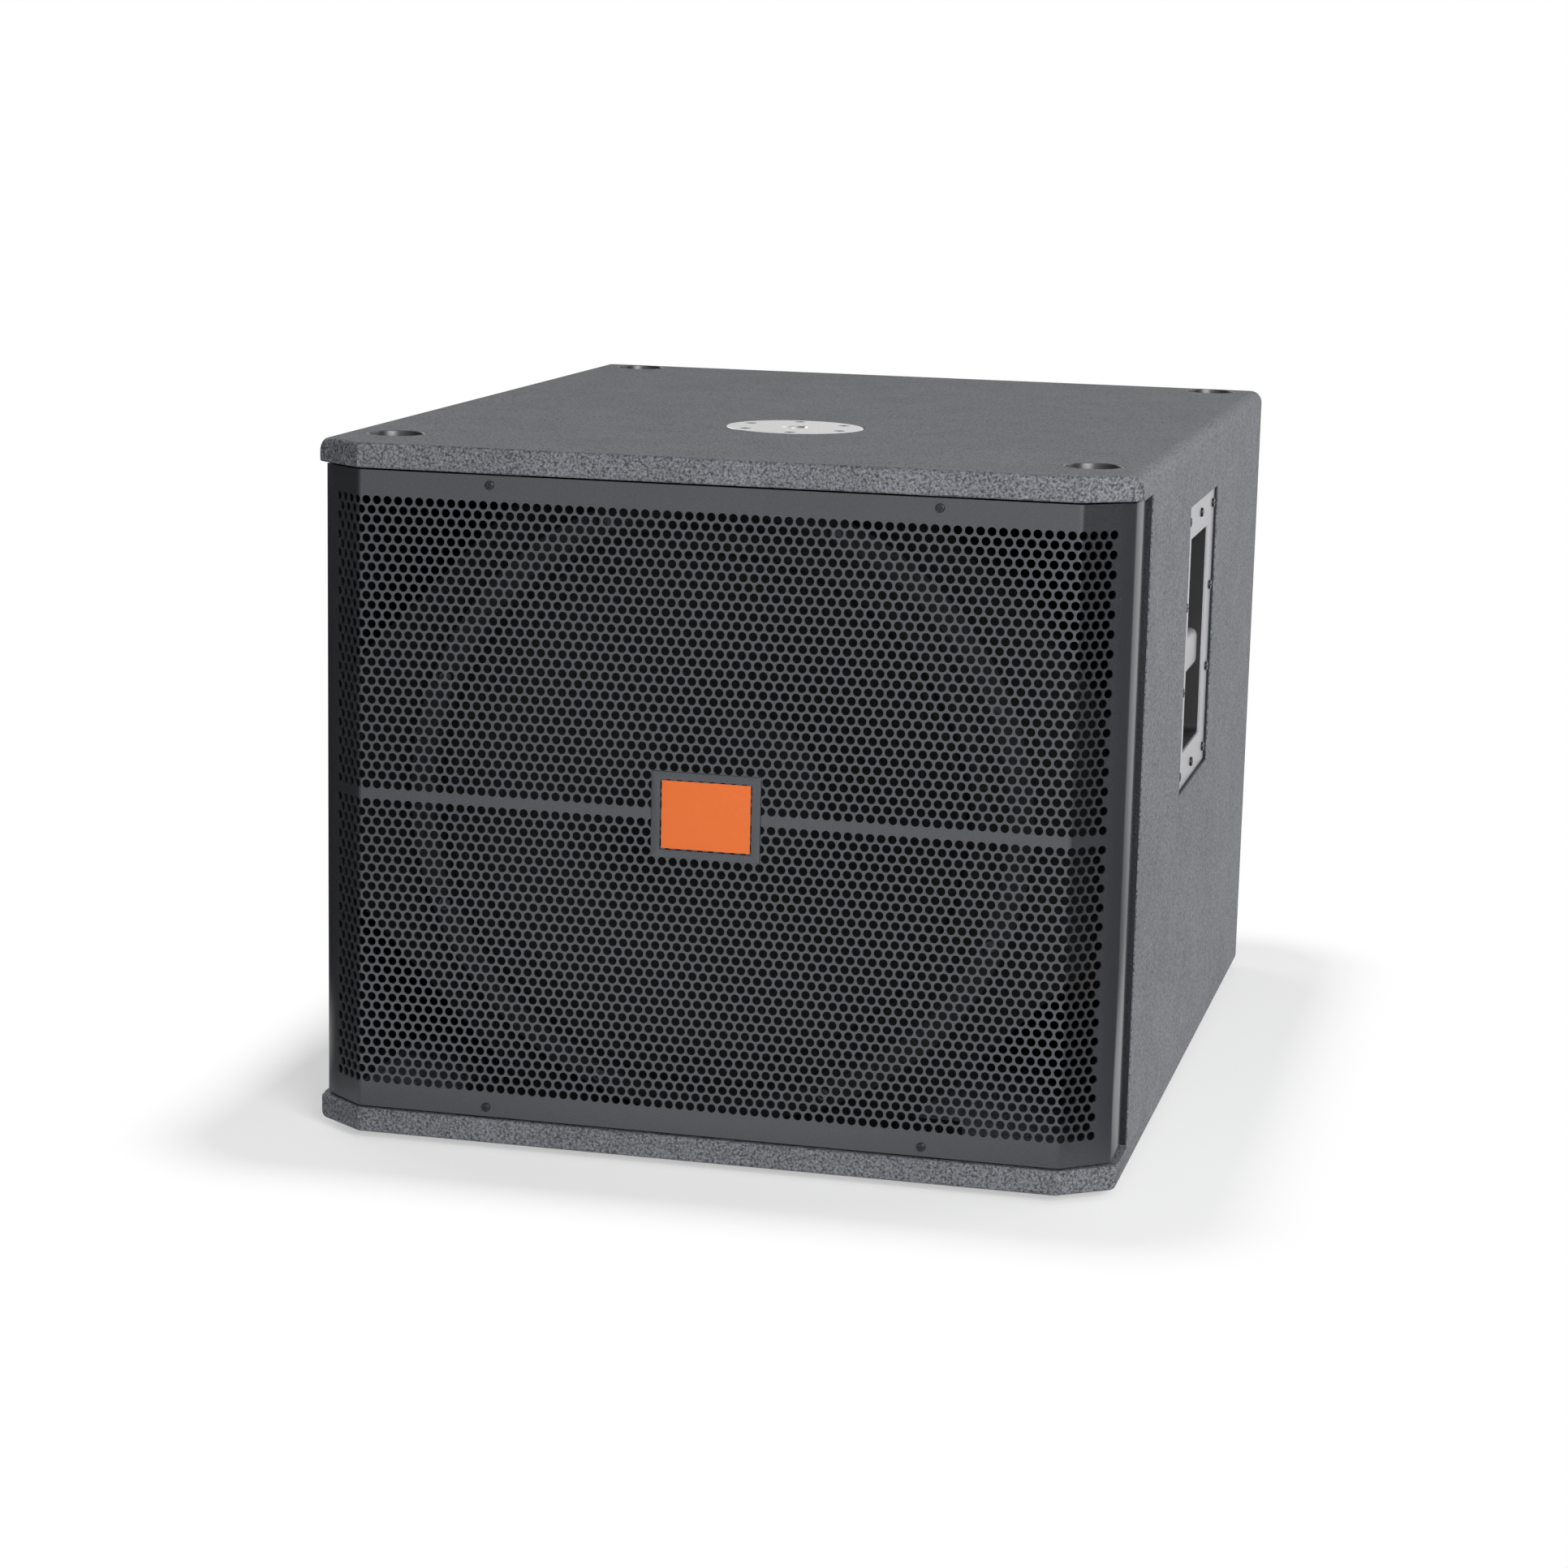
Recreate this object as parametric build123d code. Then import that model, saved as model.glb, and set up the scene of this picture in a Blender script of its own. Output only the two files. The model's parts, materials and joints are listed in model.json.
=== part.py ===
from build123d import *
from math import acos, asin, cos, radians, sin, sqrt, tan
import os

# Bass-reflex subwoofer cabinet with one 18-inch driver. Millimetres, +Z up, front faces -Y.
# The origin lies on the floor, under the middle of the cabinet.

# Cabinet
width = 597
depth = 749
height = 508
wall = 18
foot_height = 6
corner_cut_x = 38.5
corner_cut_y = 27.5
long_edge_radius = 10
lip_edge_radius = 2.5
bottom_edge_radius = 5
back_corner_radius = 10
inner_lip_cut = 1

# Grille, a folded sheet between the top and bottom panels
sheet = 1.5
grille_recess = 3
grille_side_inset = 4.5
grille_end_gap = 1.5
grille_seat_gap = 0.3
flange_end_from_front = 74.5
groove_width = 2
wing_back_from_front = 29.5
side_front_from_front = 34.5
grille_screw_x = 162
grille_screw_from_end = 8.4
block_length = 44
badge_frame_width = 80
badge_frame_height = 62
badge_frame_thickness = 1.2
badge_width = 65
badge_height = 49
badge_thickness = 0.7
badge_gap = 0.5
badge_frame_corner = 1
badge_corner = 1.5

# Baffle, corner ports and bracing
baffle_from_front = 42.5
port_leg = 150
port_board = 15
port_length = 190
cleat = 18
cleat_end_gap = 2
brace_y = 119
brace_rail = 62
brace_window_radius = 40
cable_notch_width = 22
cable_notch_height = 14
lining = 25
lining_margin = 12

# Handles, one let into each side
handle_y = -6
handle_from_top = 162
pocket_width = 164
pocket_height = 222
pocket_gap = 0.5
handle_plate_recess = 2.7
handle_plate = 2
window_width = 102
window_height = 166
cup_wall = 2.5
cup_gap = 0.3
cup_floor_depth = 62
grip_drop = 15
grip_height = 30
grip_thickness = 13
grip_recess = 5.3
grip_edge_radius = 6
handle_screw_inset = 13
handle_screw_pitch = 65.5

# Pole plate and its backing board under the top
pole_y = -127
pole_plate_radius = 52.2
pole_plate_thickness = 3
pole_recess_gap = 0.5
pole_hub_radius = 18
pole_hub_length = 36
pole_hub_gap = 0.3
pole_thread_radius = 8.75
pole_thread_depth = 32
pole_mouth_chamfer = 1.25
pole_plate_edge = 0.5
pole_screw_circle = 41
pole_screw_count = 6
pole_screw_start = -22
backing_board = 150

# Stacking cups on top, and the rubber feet that drop into them
cup_x = 256
cup_front_y = -303
cup_back_y = 344
cup_radius = 20
cup_rim = 2
cup_depth = 7
cup_base = 2
cup_recess_gap = 0.3
foot_radius = 19
foot_edge = 1.5
foot_bore_radius = 5.5
foot_bore_depth = 3.5

# Input plate, let into the back
input_z = 150
input_width = 150
input_height = 92
input_recess = 5
input_gap = 0.5
input_plate = 2
input_hole_margin = 16
input_screw_inset = 8
input_corner = 3
socket_spacing = 52
socket_flange_width = 26
socket_flange_height = 31
socket_flange = 2.5
socket_corner = 2
socket_radius = 11.8
socket_bore_radius = 10.2
socket_bore_depth = 18
socket_length = 26
socket_key = 2.4
socket_key_angles = (30, 210)
socket_screw_x = 9.5
socket_screw_z = 12
socket_gap = 0.2
socket_screw_gap = 0.2

# Driver
frame_radius = 230
frame_flange = 8
frame_flange_width = 26
frame_bearing = 19
frame_cutout_gap = 1
frame_bore_gap = 5
gasket = 3
gasket_inset = 1
bolt_inset = 10.5
bolt_count = 8
bolt_gap = 0.3
frame_cup_radius = 108
frame_cup_inner = 98
frame_shell = 5
frame_back_plate = 12
frame_depth = 130
frame_cup_height = 23
frame_cup_step = 2
opening_from_cup = 14
opening_from_lip = 8
opening_cup_gap = 6
opening_lip_gap = 16
spoke_count = 8
spoke_angle = 14
gap_clearance = 0.8
coil_radius = 51
former = 0.8
winding = 1.6
winding_length = 30
former_over_neck = 5
former_past_winding = 4
front_plate = 12
front_plate_radius = 100
magnet_radius = 108
magnet_inner_radius = 64
magnet_thickness = 26
back_plate = 12
vent_radius = 16
motor_bolt_circle = 82
motor_bolt_count = 6
motor_bolt_bite = 8
roll_width = 20
cone_land = 8
cone_rim_rise = 4
cone_thickness = 2
cone_height = 76
cap_margin = 11
cap_rise = 17
cap_thickness = 1.5
surround_land = 8
surround_thickness = 1.2
surround_rise = 9
spider_thickness = 1.2
spider_cup = 9
spider_land = 8
spider_bend = 2
spider_step = 0.5
glue_line = 0.3
cone_travel = 8

# Terminals under the driver's cup, and the wiring inside
terminal_gap = 0.5
terminal_from_back = 18
terminal_width = 34
terminal_length = 12
terminal_height = 14
terminal_corner = 1
tag_spacing = 18
tag_radius = 2.5
tag_drop = 5
tag_root = 1
cable_radius = 3
clip_width = 12
clip_wall = 2
clip_gap = 0.2
clip_tab = 12
clip_places = (-60, 60, 200)

# Screws and nuts
hole_gap = 0.05
head_rounding = 0.45
cross_length = 1.3
cross_width = 0.28
wood_screw = {"head": 3.6, "rise": 2.0, "shank": 1.9, "length": 13, "slot": 1.0}
grille_screw = {"head": 3.2, "rise": 1.8, "shank": 1.9, "length": 22, "slot": 0.9}
foot_screw = {"head": 4.6, "rise": 2.5, "shank": 2.2, "length": 16, "slot": 1.2}
plate_screw = {"head": 4.4, "shank": 2.2, "length": 15, "slot": 1.2}
cup_screw = {"head": 4.4, "shank": 2.2, "length": 10, "slot": 1.2}
small_screw = {"head": 2.4, "rise": 0.5, "shank": 1.4, "length": 8, "slot": 0.3}
bolt = {"head": 5.0, "rise": 5.0, "shank": 3.0, "slot": 2.6, "key": 3, "edge": 0.6}
nut_flange_radius = 9
nut_flange = 1.5
nut_barrel_radius = 4.2
nut_barrel = 10

touch = 0.01

# Planes and radii that the pieces share
front = -depth / 2
back = depth / 2
floor_z = foot_height
top_z = foot_height + height
inner_x = width / 2 - wall
inner_bottom = floor_z + wall
inner_top = top_z - wall
inner_back = back - wall
middle_z = foot_height + height / 2
grille_front = front + grille_recess
grille_back = grille_front + sheet
flange_x = width / 2 - grille_side_inset
rebate_x = flange_x - sheet - grille_seat_gap
side_front = front + side_front_from_front
baffle_front = front + baffle_from_front
baffle_back = baffle_front + wall
port_end = baffle_back + port_length
plate_x = width / 2 - handle_plate_recess
plate_back_x = plate_x - handle_plate
cup_floor_x = plate_back_x - cup_floor_depth
frame_front = baffle_front - gasket - frame_flange
frame_back = frame_front + frame_depth
frame_cup_front = frame_back - frame_cup_height
front_plate_back = frame_back + front_plate
magnet_back = front_plate_back + magnet_thickness
motor_back = magnet_back + back_plate
frame_inner_radius = frame_radius - frame_flange_width
cutout_radius = frame_radius - frame_bearing
bolt_circle = frame_radius - bolt_inset
cone_radius = frame_inner_radius - roll_width
cap_radius = coil_radius + cap_margin
former_inner = coil_radius - former
cone_rim_y = frame_front - cone_rim_rise
cone_neck_y = cone_rim_y + cone_height
terminal_z = middle_z - frame_cup_radius - terminal_gap
grille_screw_from_middle = (inner_top - inner_bottom) / 2 - grille_screw_from_end
handle_z = height - handle_from_top
grip_z = handle_z - grip_drop
handle_mid_z = foot_height + handle_z
grip_mid_z = foot_height + grip_z
input_mid_z = foot_height + input_z
cup_places = [(sx * cup_x, y) for sx in (-1, 1) for y in (cup_front_y, cup_back_y)]


def block(x0, x1, y0, y1, z0, z1):
    # A box between two corners
    return Pos((x0 + x1) / 2, (y0 + y1) / 2, (z0 + z1) / 2) * Box(x1 - x0, y1 - y0, z1 - z0)


def rod_z(x, y, z0, z1, radius):
    return Pos(x, y, (z0 + z1) / 2) * Cylinder(radius, z1 - z0)


def rod_y(x, z, y0, y1, radius):
    return Pos(x, (y0 + y1) / 2, z) * Rot(90, 0, 0) * Cylinder(radius, y1 - y0)


def turned(points):
    # A solid of revolution about the driver's axis, from (radius, y) points
    return Pos(0, 0, middle_z) * revolve(Polygon(*points, align=None), Axis.Y)


def ring_y(inner, outer, y0, y1):
    return turned([(inner, y0), (outer, y0), (outer, y1), (inner, y1)])


def on_circle(radius, count, start):
    turns = [radians(start + 360 * i / count) for i in range(count)]
    return [(radius * cos(a), radius * sin(a)) for a in turns]


def cross(radius, depth_in):
    # Cutter for a cross recess, from the head's top at z 0 down
    blade = Box(radius * cross_length, radius * cross_width, depth_in * 2)
    return blade + Rot(0, 0, 90) * blade


def pan_screw(size):
    # The head sits on z 0 and the shank goes down
    head = Pos(0, 0, size["rise"] / 2) * Cylinder(size["head"], size["rise"])
    head = fillet(head.edges().sort_by(Axis.Z)[-1], size["rise"] * head_rounding)
    shank = Pos(0, 0, -size["length"] / 2) * Cylinder(size["shank"], size["length"])
    return head + shank - Pos(0, 0, size["rise"]) * cross(size["head"], size["slot"])


def flat_head(size):
    # The cone of a countersunk head, with its top at z 0
    drop = size["head"] - size["shank"]
    return Pos(0, 0, -drop / 2) * Cone(size["shank"], size["head"], drop)


def flat_screw_solid(size):
    shank = Pos(0, 0, -size["length"] / 2) * Cylinder(size["shank"], size["length"])
    return flat_head(size) + shank - cross(size["head"], size["slot"])


def flat_sink(size):
    # Cutter for a countersunk screw, with a little room all round
    wide = {"head": size["head"] + hole_gap, "shank": size["shank"] + hole_gap}
    hole = Pos(0, 0, -size["length"] / 2) * Cylinder(wide["shank"], size["length"] + 2 * hole_gap)
    return flat_head(wide) + hole


def cap_bolt(length):
    head = Pos(0, 0, bolt["rise"] / 2) * Cylinder(bolt["head"], bolt["rise"])
    head = chamfer(head.edges().sort_by(Axis.Z)[-1], bolt["edge"])
    shank = Pos(0, 0, -length / 2) * Cylinder(bolt["shank"], length)
    key = extrude(Pos(0, 0, bolt["rise"]) * RegularPolygon(bolt["slot"], 6), -bolt["key"])
    return head + shank - key


def pilot(size):
    # Cutter for a pan-head screw's shank
    length = size["length"]
    return Pos(0, 0, -length / 2) * Cylinder(size["shank"] + hole_gap, length + 2 * hole_gap)


def outward(side):
    # Turns a part that points up so that it points out of a side panel
    return Rot(0, 90 * side, 0)


forward = Rot(90, 0, 0)
backward = Rot(-90, 0, 0)
downward = Rot(180, 0, 0)


def cut(solid, cutter, places):
    # Takes a cutter away at each place
    for place in places:
        solid = solid - place * cutter
    return solid


def group(piece, places):
    return Compound(children=[place * piece for place in places])


def grille_screw_places(y):
    heights = (middle_z - grille_screw_from_middle, middle_z + grille_screw_from_middle)
    return [Pos(sx * grille_screw_x, y, z) * forward for sx in (-1, 1) for z in heights]


def handle_screw_places(side):
    half_y = pocket_width / 2 - handle_screw_inset
    rows = [handle_mid_z + handle_screw_pitch * k for k in (-1.5, -0.5, 0.5, 1.5)]
    spots = [(handle_y + s * half_y, z) for s in (-1, 1) for z in rows]
    spots += [(handle_y, rows[0]), (handle_y, rows[-1])]
    return [Pos(side * plate_x, y, z) * outward(side) for y, z in spots]


def pole_screw_places():
    spots = on_circle(pole_screw_circle, pole_screw_count, pole_screw_start)
    return [Pos(x, pole_y + y, top_z) for x, y in spots]


def cup_screw_places():
    return [Pos(x, y, top_z - cup_depth) for x, y in cup_places]


def foot_screw_places():
    return [Pos(x, y, foot_bore_depth) * downward for x, y in cup_places]


def input_screw_places():
    half_x = input_width / 2 - input_screw_inset
    half_z = input_height / 2 - input_screw_inset
    y = back - input_recess + input_plate
    spots = [(sx * half_x, input_mid_z + sz * half_z) for sx in (-1, 1) for sz in (-1, 1)]
    return [Pos(x, y, z) * backward for x, z in spots]


def socket_screw_places(x):
    y = back - input_recess + input_plate + socket_flange - small_screw["rise"]
    spots = [(x + s * socket_screw_x, input_mid_z + s * socket_screw_z) for s in (-1, 1)]
    return [Pos(spot_x, y, spot_z) * backward for spot_x, spot_z in spots]


def bolt_places(y):
    spots = on_circle(bolt_circle, bolt_count, 180 / bolt_count)
    return [Pos(x, y, middle_z + z) * forward for x, z in spots]


def motor_bolt_places(y):
    spots = on_circle(motor_bolt_circle, motor_bolt_count, 0)
    return [Pos(x, y, middle_z + z) * forward for x, z in spots]


def end_panel_blank(z0, z1):
    # Top or bottom board: square at the back, with the two front corners cut off
    half = width / 2
    outline = Polygon(
        (-half, back), (-half, front + corner_cut_y), (-half + corner_cut_x, front),
        (half - corner_cut_x, front), (half, front + corner_cut_y), (half, back), align=None,
    )
    panel = extrude(Pos(0, 0, z0) * outline, z1 - z0)
    corners = panel.edges().filter_by(Axis.Z).group_by(Axis.Y)[-1]
    return fillet(corners, back_corner_radius)


def rounded_panel(panel, outer_z, side_radius):
    # Rounds the outer edge: larger along the sides and back, then small along the cut front
    wing_y = front + corner_cut_y + touch
    rim = panel.edges().filter_by_position(Axis.Z, outer_z - touch, outer_z + touch)
    panel = fillet([edge for edge in rim if edge.center().Y > wing_y], side_radius)
    rim = panel.edges().filter_by_position(Axis.Z, outer_z - touch, outer_z + touch)
    return fillet([edge for edge in rim if edge.center().Y < wing_y], lip_edge_radius)


def cut_inner_lip(panel, inner_z):
    # Takes the sharp edge off a board's inner rim, but only ahead of the side boards
    rim = panel.edges().filter_by_position(Axis.Z, inner_z - touch, inner_z + touch)
    softened = chamfer([edge for edge in rim if edge.center().Y < front + corner_cut_y], inner_lip_cut)
    return softened + (panel & block(-width / 2, width / 2, side_front, back, floor_z, top_z))


def make_top_panel():
    panel = rounded_panel(end_panel_blank(inner_top, top_z), top_z, long_edge_radius)
    panel = cut_inner_lip(panel, inner_top)
    panel -= rod_z(0, pole_y, top_z - pole_plate_thickness, top_z, pole_plate_radius + pole_recess_gap)
    panel -= rod_z(0, pole_y, inner_top, top_z, pole_hub_radius + pole_hub_gap)
    for x, y in cup_places:
        panel -= rod_z(x, y, top_z - cup_depth - cup_base, top_z, cup_radius + cup_rim + cup_recess_gap)
    panel = cut(panel, flat_sink(plate_screw), pole_screw_places())
    return cut(panel, flat_sink(cup_screw), cup_screw_places())


def make_bottom_panel():
    panel = rounded_panel(end_panel_blank(floor_z, inner_bottom), floor_z, bottom_edge_radius)
    panel = cut_inner_lip(panel, inner_bottom)
    return cut(panel, pilot(foot_screw), foot_screw_places())


def handle_block(side, x0, x1, half_y, half_z):
    # A box about the middle of one side's handle, from x0 out to x1
    near, far = sorted((side * x0, side * x1))
    y, z = handle_y, handle_mid_z
    return block(near, far, y - half_y, y + half_y, z - half_z, z + half_z)


def make_side_panel(side):
    panel = block(inner_x, width / 2, side_front, back, inner_bottom, inner_top)
    back_edge = panel.edges().filter_by(Axis.Z).sort_by(lambda e: e.center().X + e.center().Y)[-1]
    panel = fillet(back_edge, back_corner_radius)
    rebate_end = front + flange_end_from_front + groove_width
    panel -= block(rebate_x, width, front, rebate_end, inner_bottom, inner_top)
    if side < 0:
        panel = mirror(panel, Plane.YZ)
    panel -= handle_block(side, plate_back_x, width, pocket_width / 2, pocket_height / 2)
    room = cup_wall + cup_gap
    panel -= handle_block(side, inner_x, width, window_width / 2 + room, window_height / 2 + room)
    return cut(panel, pilot(wood_screw), handle_screw_places(side))


def make_back_panel():
    panel = block(-inner_x, inner_x, inner_back, back, inner_bottom, inner_top)
    half_x = input_width / 2 + input_gap
    half_z = input_height / 2 + input_gap
    panel -= block(-half_x, half_x, back - input_recess, back, input_mid_z - half_z, input_mid_z + half_z)
    half_x = input_width / 2 - input_hole_margin
    half_z = input_height / 2 - input_hole_margin
    panel -= block(-half_x, half_x, inner_back, back, input_mid_z - half_z, input_mid_z + half_z)
    return cut(panel, pilot(wood_screw), input_screw_places())


def make_baffle():
    leg = port_leg
    x, z = inner_x, (inner_top - inner_bottom) / 2
    outline = Polygon(
        (-x, z - leg), (-x + leg, z), (x - leg, z), (x, z - leg),
        (x, leg - z), (x - leg, -z), (leg - x, -z), (-x, leg - z), align=None,
    )
    board = Pos(0, baffle_back, middle_z) * forward * extrude(outline, wall, dir=(0, 0, 1))
    board -= rod_y(0, middle_z, baffle_front, baffle_back, cutout_radius)
    hole = Pos(0, 0, -(wall + gasket) / 2) * Cylinder(nut_barrel_radius + hole_gap, wall + gasket)
    return cut(board, hole, bolt_places(baffle_front))


def make_port_board(sx, sz):
    # A board across one inside corner, so that the corner itself is the duct
    leg = port_leg
    outer = port_leg + port_board * sqrt(2)
    edge = Polygon((-leg, 0), (0, -leg), (0, -outer), (-outer, 0), align=None)
    board = forward * extrude(edge, port_length, dir=(0, 0, 1))
    if sx < 0:
        board = mirror(board, Plane.YZ)
    if sz < 0:
        board = mirror(board, Plane.XY)
    return Pos(sx * inner_x, port_end, inner_top if sz > 0 else inner_bottom) * board


def make_cleats():
    y0, y1 = baffle_back, baffle_back + cleat
    half_x = inner_x - port_leg - port_board * sqrt(2) - cleat
    half_z = (inner_top - inner_bottom) / 2 - port_leg - port_board * sqrt(2) - cleat_end_gap
    z0, z1 = middle_z - half_z, middle_z + half_z
    return {
        "top_baffle_cleat": block(-half_x, half_x, y0, y1, inner_top - cleat, inner_top),
        "bottom_baffle_cleat": block(-half_x, half_x, y0, y1, inner_bottom, inner_bottom + cleat),
        "left_baffle_cleat": block(-inner_x, cleat - inner_x, y0, y1, z0, z1),
        "right_baffle_cleat": block(inner_x - cleat, inner_x, y0, y1, z0, z1),
    }


def make_brace():
    # A board across the cabinet with a large window, and a notch for the cable
    brace = block(-inner_x, inner_x, brace_y - wall / 2, brace_y + wall / 2, inner_bottom, inner_top)
    x = inner_x - brace_rail
    z0, z1 = inner_bottom + brace_rail, inner_top - brace_rail
    window = block(-x, x, brace_y - wall, brace_y + wall, z0, z1)
    window = fillet(window.edges().filter_by(Axis.Y), brace_window_radius)
    half = cable_notch_width / 2
    notch_top = inner_bottom + cable_notch_height
    notch = block(-half, half, brace_y - wall, brace_y + wall, inner_bottom, notch_top)
    return brace - window - notch


def make_linings():
    y1 = inner_back
    x = inner_x - lining_margin
    z0, z1 = inner_bottom + lining_margin, inner_top - lining_margin - lining
    back_pad = block(-x, x, y1 - lining, y1, z0, z1)
    half_x = input_width / 2
    half_z = input_height / 2
    back_pad -= block(-half_x, half_x, y1 - lining, y1, input_mid_z - half_z, input_mid_z + half_z)
    y0 = brace_y + wall / 2 + lining_margin
    top_pad = block(-x, x, y0, y1, inner_top - lining, inner_top)
    return {"back_lining": back_pad, "top_lining": top_pad}


def make_grille_blocks():
    # Blocks behind the plain strips, which the grille screws bite into
    y0 = grille_back + grille_seat_gap
    half = block_length / 2
    solids = []
    for sx in (-1, 1):
        for z0, z1 in ((inner_bottom, inner_bottom + cleat), (inner_top - cleat, inner_top)):
            x = sx * grille_screw_x
            solid = block(x - half, x + half, y0, baffle_front, z0, z1)
            solids.append(cut(solid, pilot(grille_screw), grille_screw_places(grille_front)))
    return Compound(children=solids)


def make_grille():
    # Front face, two slanted wings and two side flanges, folded from one sheet
    x1 = flange_x
    x0 = width / 2 - corner_cut_x
    y_wing = front + wing_back_from_front
    y_end = front + flange_end_from_front
    outer = Polygon(
        (-x1, y_end + sheet), (-x1, y_wing), (-x0, grille_front),
        (x0, grille_front), (x1, y_wing), (x1, y_end + sheet), align=None,
    )
    inner = offset(outer, -sheet, kind=Kind.INTERSECTION)
    z0, z1 = inner_bottom + grille_end_gap, inner_top - grille_end_gap
    shell = extrude(Pos(0, 0, z0) * (outer - inner), z1 - z0)
    shell -= block(-width, width, y_end, back, 0, top_z)
    return cut(shell, pilot(grille_screw), grille_screw_places(grille_front))


def make_badge():
    y1 = grille_front
    half_x, half_z = badge_frame_width / 2, badge_frame_height / 2
    frame = block(-half_x, half_x, y1 - badge_frame_thickness, y1, middle_z - half_z, middle_z + half_z)
    half_x, half_z = badge_width / 2, badge_height / 2
    plate = block(-half_x, half_x, y1 - badge_thickness, y1, middle_z - half_z, middle_z + half_z)
    half_x, half_z = half_x + badge_gap, half_z + badge_gap
    frame -= block(-half_x, half_x, y1 - wall, y1, middle_z - half_z, middle_z + half_z)
    frame = fillet(frame.edges().filter_by(Axis.Y), badge_frame_corner)
    return frame, fillet(plate.edges().filter_by(Axis.Y), badge_corner)


def make_pole_plate():
    plate = rod_z(0, pole_y, top_z - pole_plate_thickness, top_z, pole_plate_radius)
    plate = chamfer(plate.edges().sort_by(Axis.Z)[-1], pole_plate_edge)
    plate += rod_z(0, pole_y, top_z - pole_hub_length, top_z - pole_plate_thickness, pole_hub_radius)
    plate -= rod_z(0, pole_y, top_z - pole_thread_depth, top_z, pole_thread_radius)
    mouth = Cone(pole_thread_radius, pole_thread_radius + pole_mouth_chamfer, pole_mouth_chamfer)
    plate -= Pos(0, pole_y, top_z - pole_mouth_chamfer / 2) * mouth
    return cut(plate, flat_sink(plate_screw), pole_screw_places())


def make_backing_board():
    half = backing_board / 2
    board = block(-half, half, pole_y - half, pole_y + half, inner_top - wall, inner_top)
    return board - rod_z(0, pole_y, inner_top - wall, inner_top, pole_hub_radius + pole_hub_gap)


def make_stacking_cup():
    # One cup, with its rim at z 0
    total = cup_depth + cup_base
    cup = Pos(0, 0, -total / 2) * Cylinder(cup_radius + cup_rim, total)
    cup -= Pos(0, 0, -cup_depth / 2) * Cylinder(cup_radius, cup_depth)
    return cup - Pos(0, 0, -cup_depth) * flat_sink(cup_screw)


def make_foot():
    # One foot, standing on z 0
    foot = Pos(0, 0, foot_height / 2) * Cylinder(foot_radius, foot_height)
    foot = chamfer(foot.edges().sort_by(Axis.Z)[0], foot_edge)
    foot -= Pos(0, 0, foot_bore_depth / 2) * Cylinder(foot_bore_radius, foot_bore_depth)
    return foot - Cylinder(foot_screw["shank"] + hole_gap, 3 * foot_height)


def make_handle(side):
    wy, wz = window_width / 2, window_height / 2
    plate = handle_block(
        side, plate_back_x, plate_x, pocket_width / 2 - pocket_gap, pocket_height / 2 - pocket_gap
    )
    plate -= handle_block(side, plate_back_x, plate_x, wy, wz)
    plate = cut(plate, pilot(wood_screw), handle_screw_places(side))
    cup = handle_block(side, cup_floor_x - cup_wall, plate_back_x, wy + cup_wall, wz + cup_wall)
    cup -= handle_block(side, cup_floor_x, plate_back_x, wy, wz)
    grip_x = plate_x - grip_recess
    x0, x1 = sorted((side * (grip_x - grip_thickness), side * grip_x))
    half = grip_height / 2
    grip = block(x0, x1, handle_y - wy, handle_y + wy, grip_mid_z - half, grip_mid_z + half)
    grip = fillet(grip.edges().filter_by(Axis.Y), grip_edge_radius)
    return plate, cup, grip


def make_input_plate():
    y0 = back - input_recess
    half_x, half_z = input_width / 2, input_height / 2
    plate = block(-half_x, half_x, y0, y0 + input_plate, input_mid_z - half_z, input_mid_z + half_z)
    plate = fillet(plate.edges().filter_by(Axis.Y), input_corner)
    for x in (-socket_spacing / 2, socket_spacing / 2):
        plate -= rod_y(x, input_mid_z, y0, y0 + input_plate, socket_radius + socket_gap)
        plate = cut(plate, pilot(small_screw), socket_screw_places(x))
    return cut(plate, pilot(wood_screw), input_screw_places())


def make_socket(x):
    # A twist-lock loudspeaker socket: a flange, a round body and a keyed hollow
    y0 = back - input_recess + input_plate
    y1 = y0 + socket_flange
    half_x, half_z = socket_flange_width / 2, socket_flange_height / 2
    solid = block(x - half_x, x + half_x, y0, y1, input_mid_z - half_z, input_mid_z + half_z)
    solid = fillet(solid.edges().filter_by(Axis.Y), socket_corner)
    solid += rod_y(x, input_mid_z, y1 - socket_length, y0, socket_radius)
    solid -= rod_y(x, input_mid_z, y1 - socket_bore_depth, y1, socket_bore_radius)
    for angle in socket_key_angles:
        key = Pos(socket_bore_radius, 0, 0) * Box(socket_key, socket_key, 2 * socket_bore_depth)
        solid -= Pos(x, y1, input_mid_z) * backward * Rot(0, 0, angle) * key
    for place in socket_screw_places(x):
        solid -= place * pilot(small_screw)
        sink = Cylinder(small_screw["head"] + socket_screw_gap, socket_flange)
        solid -= place * Pos(0, 0, socket_flange / 2) * sink
    return solid


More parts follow.
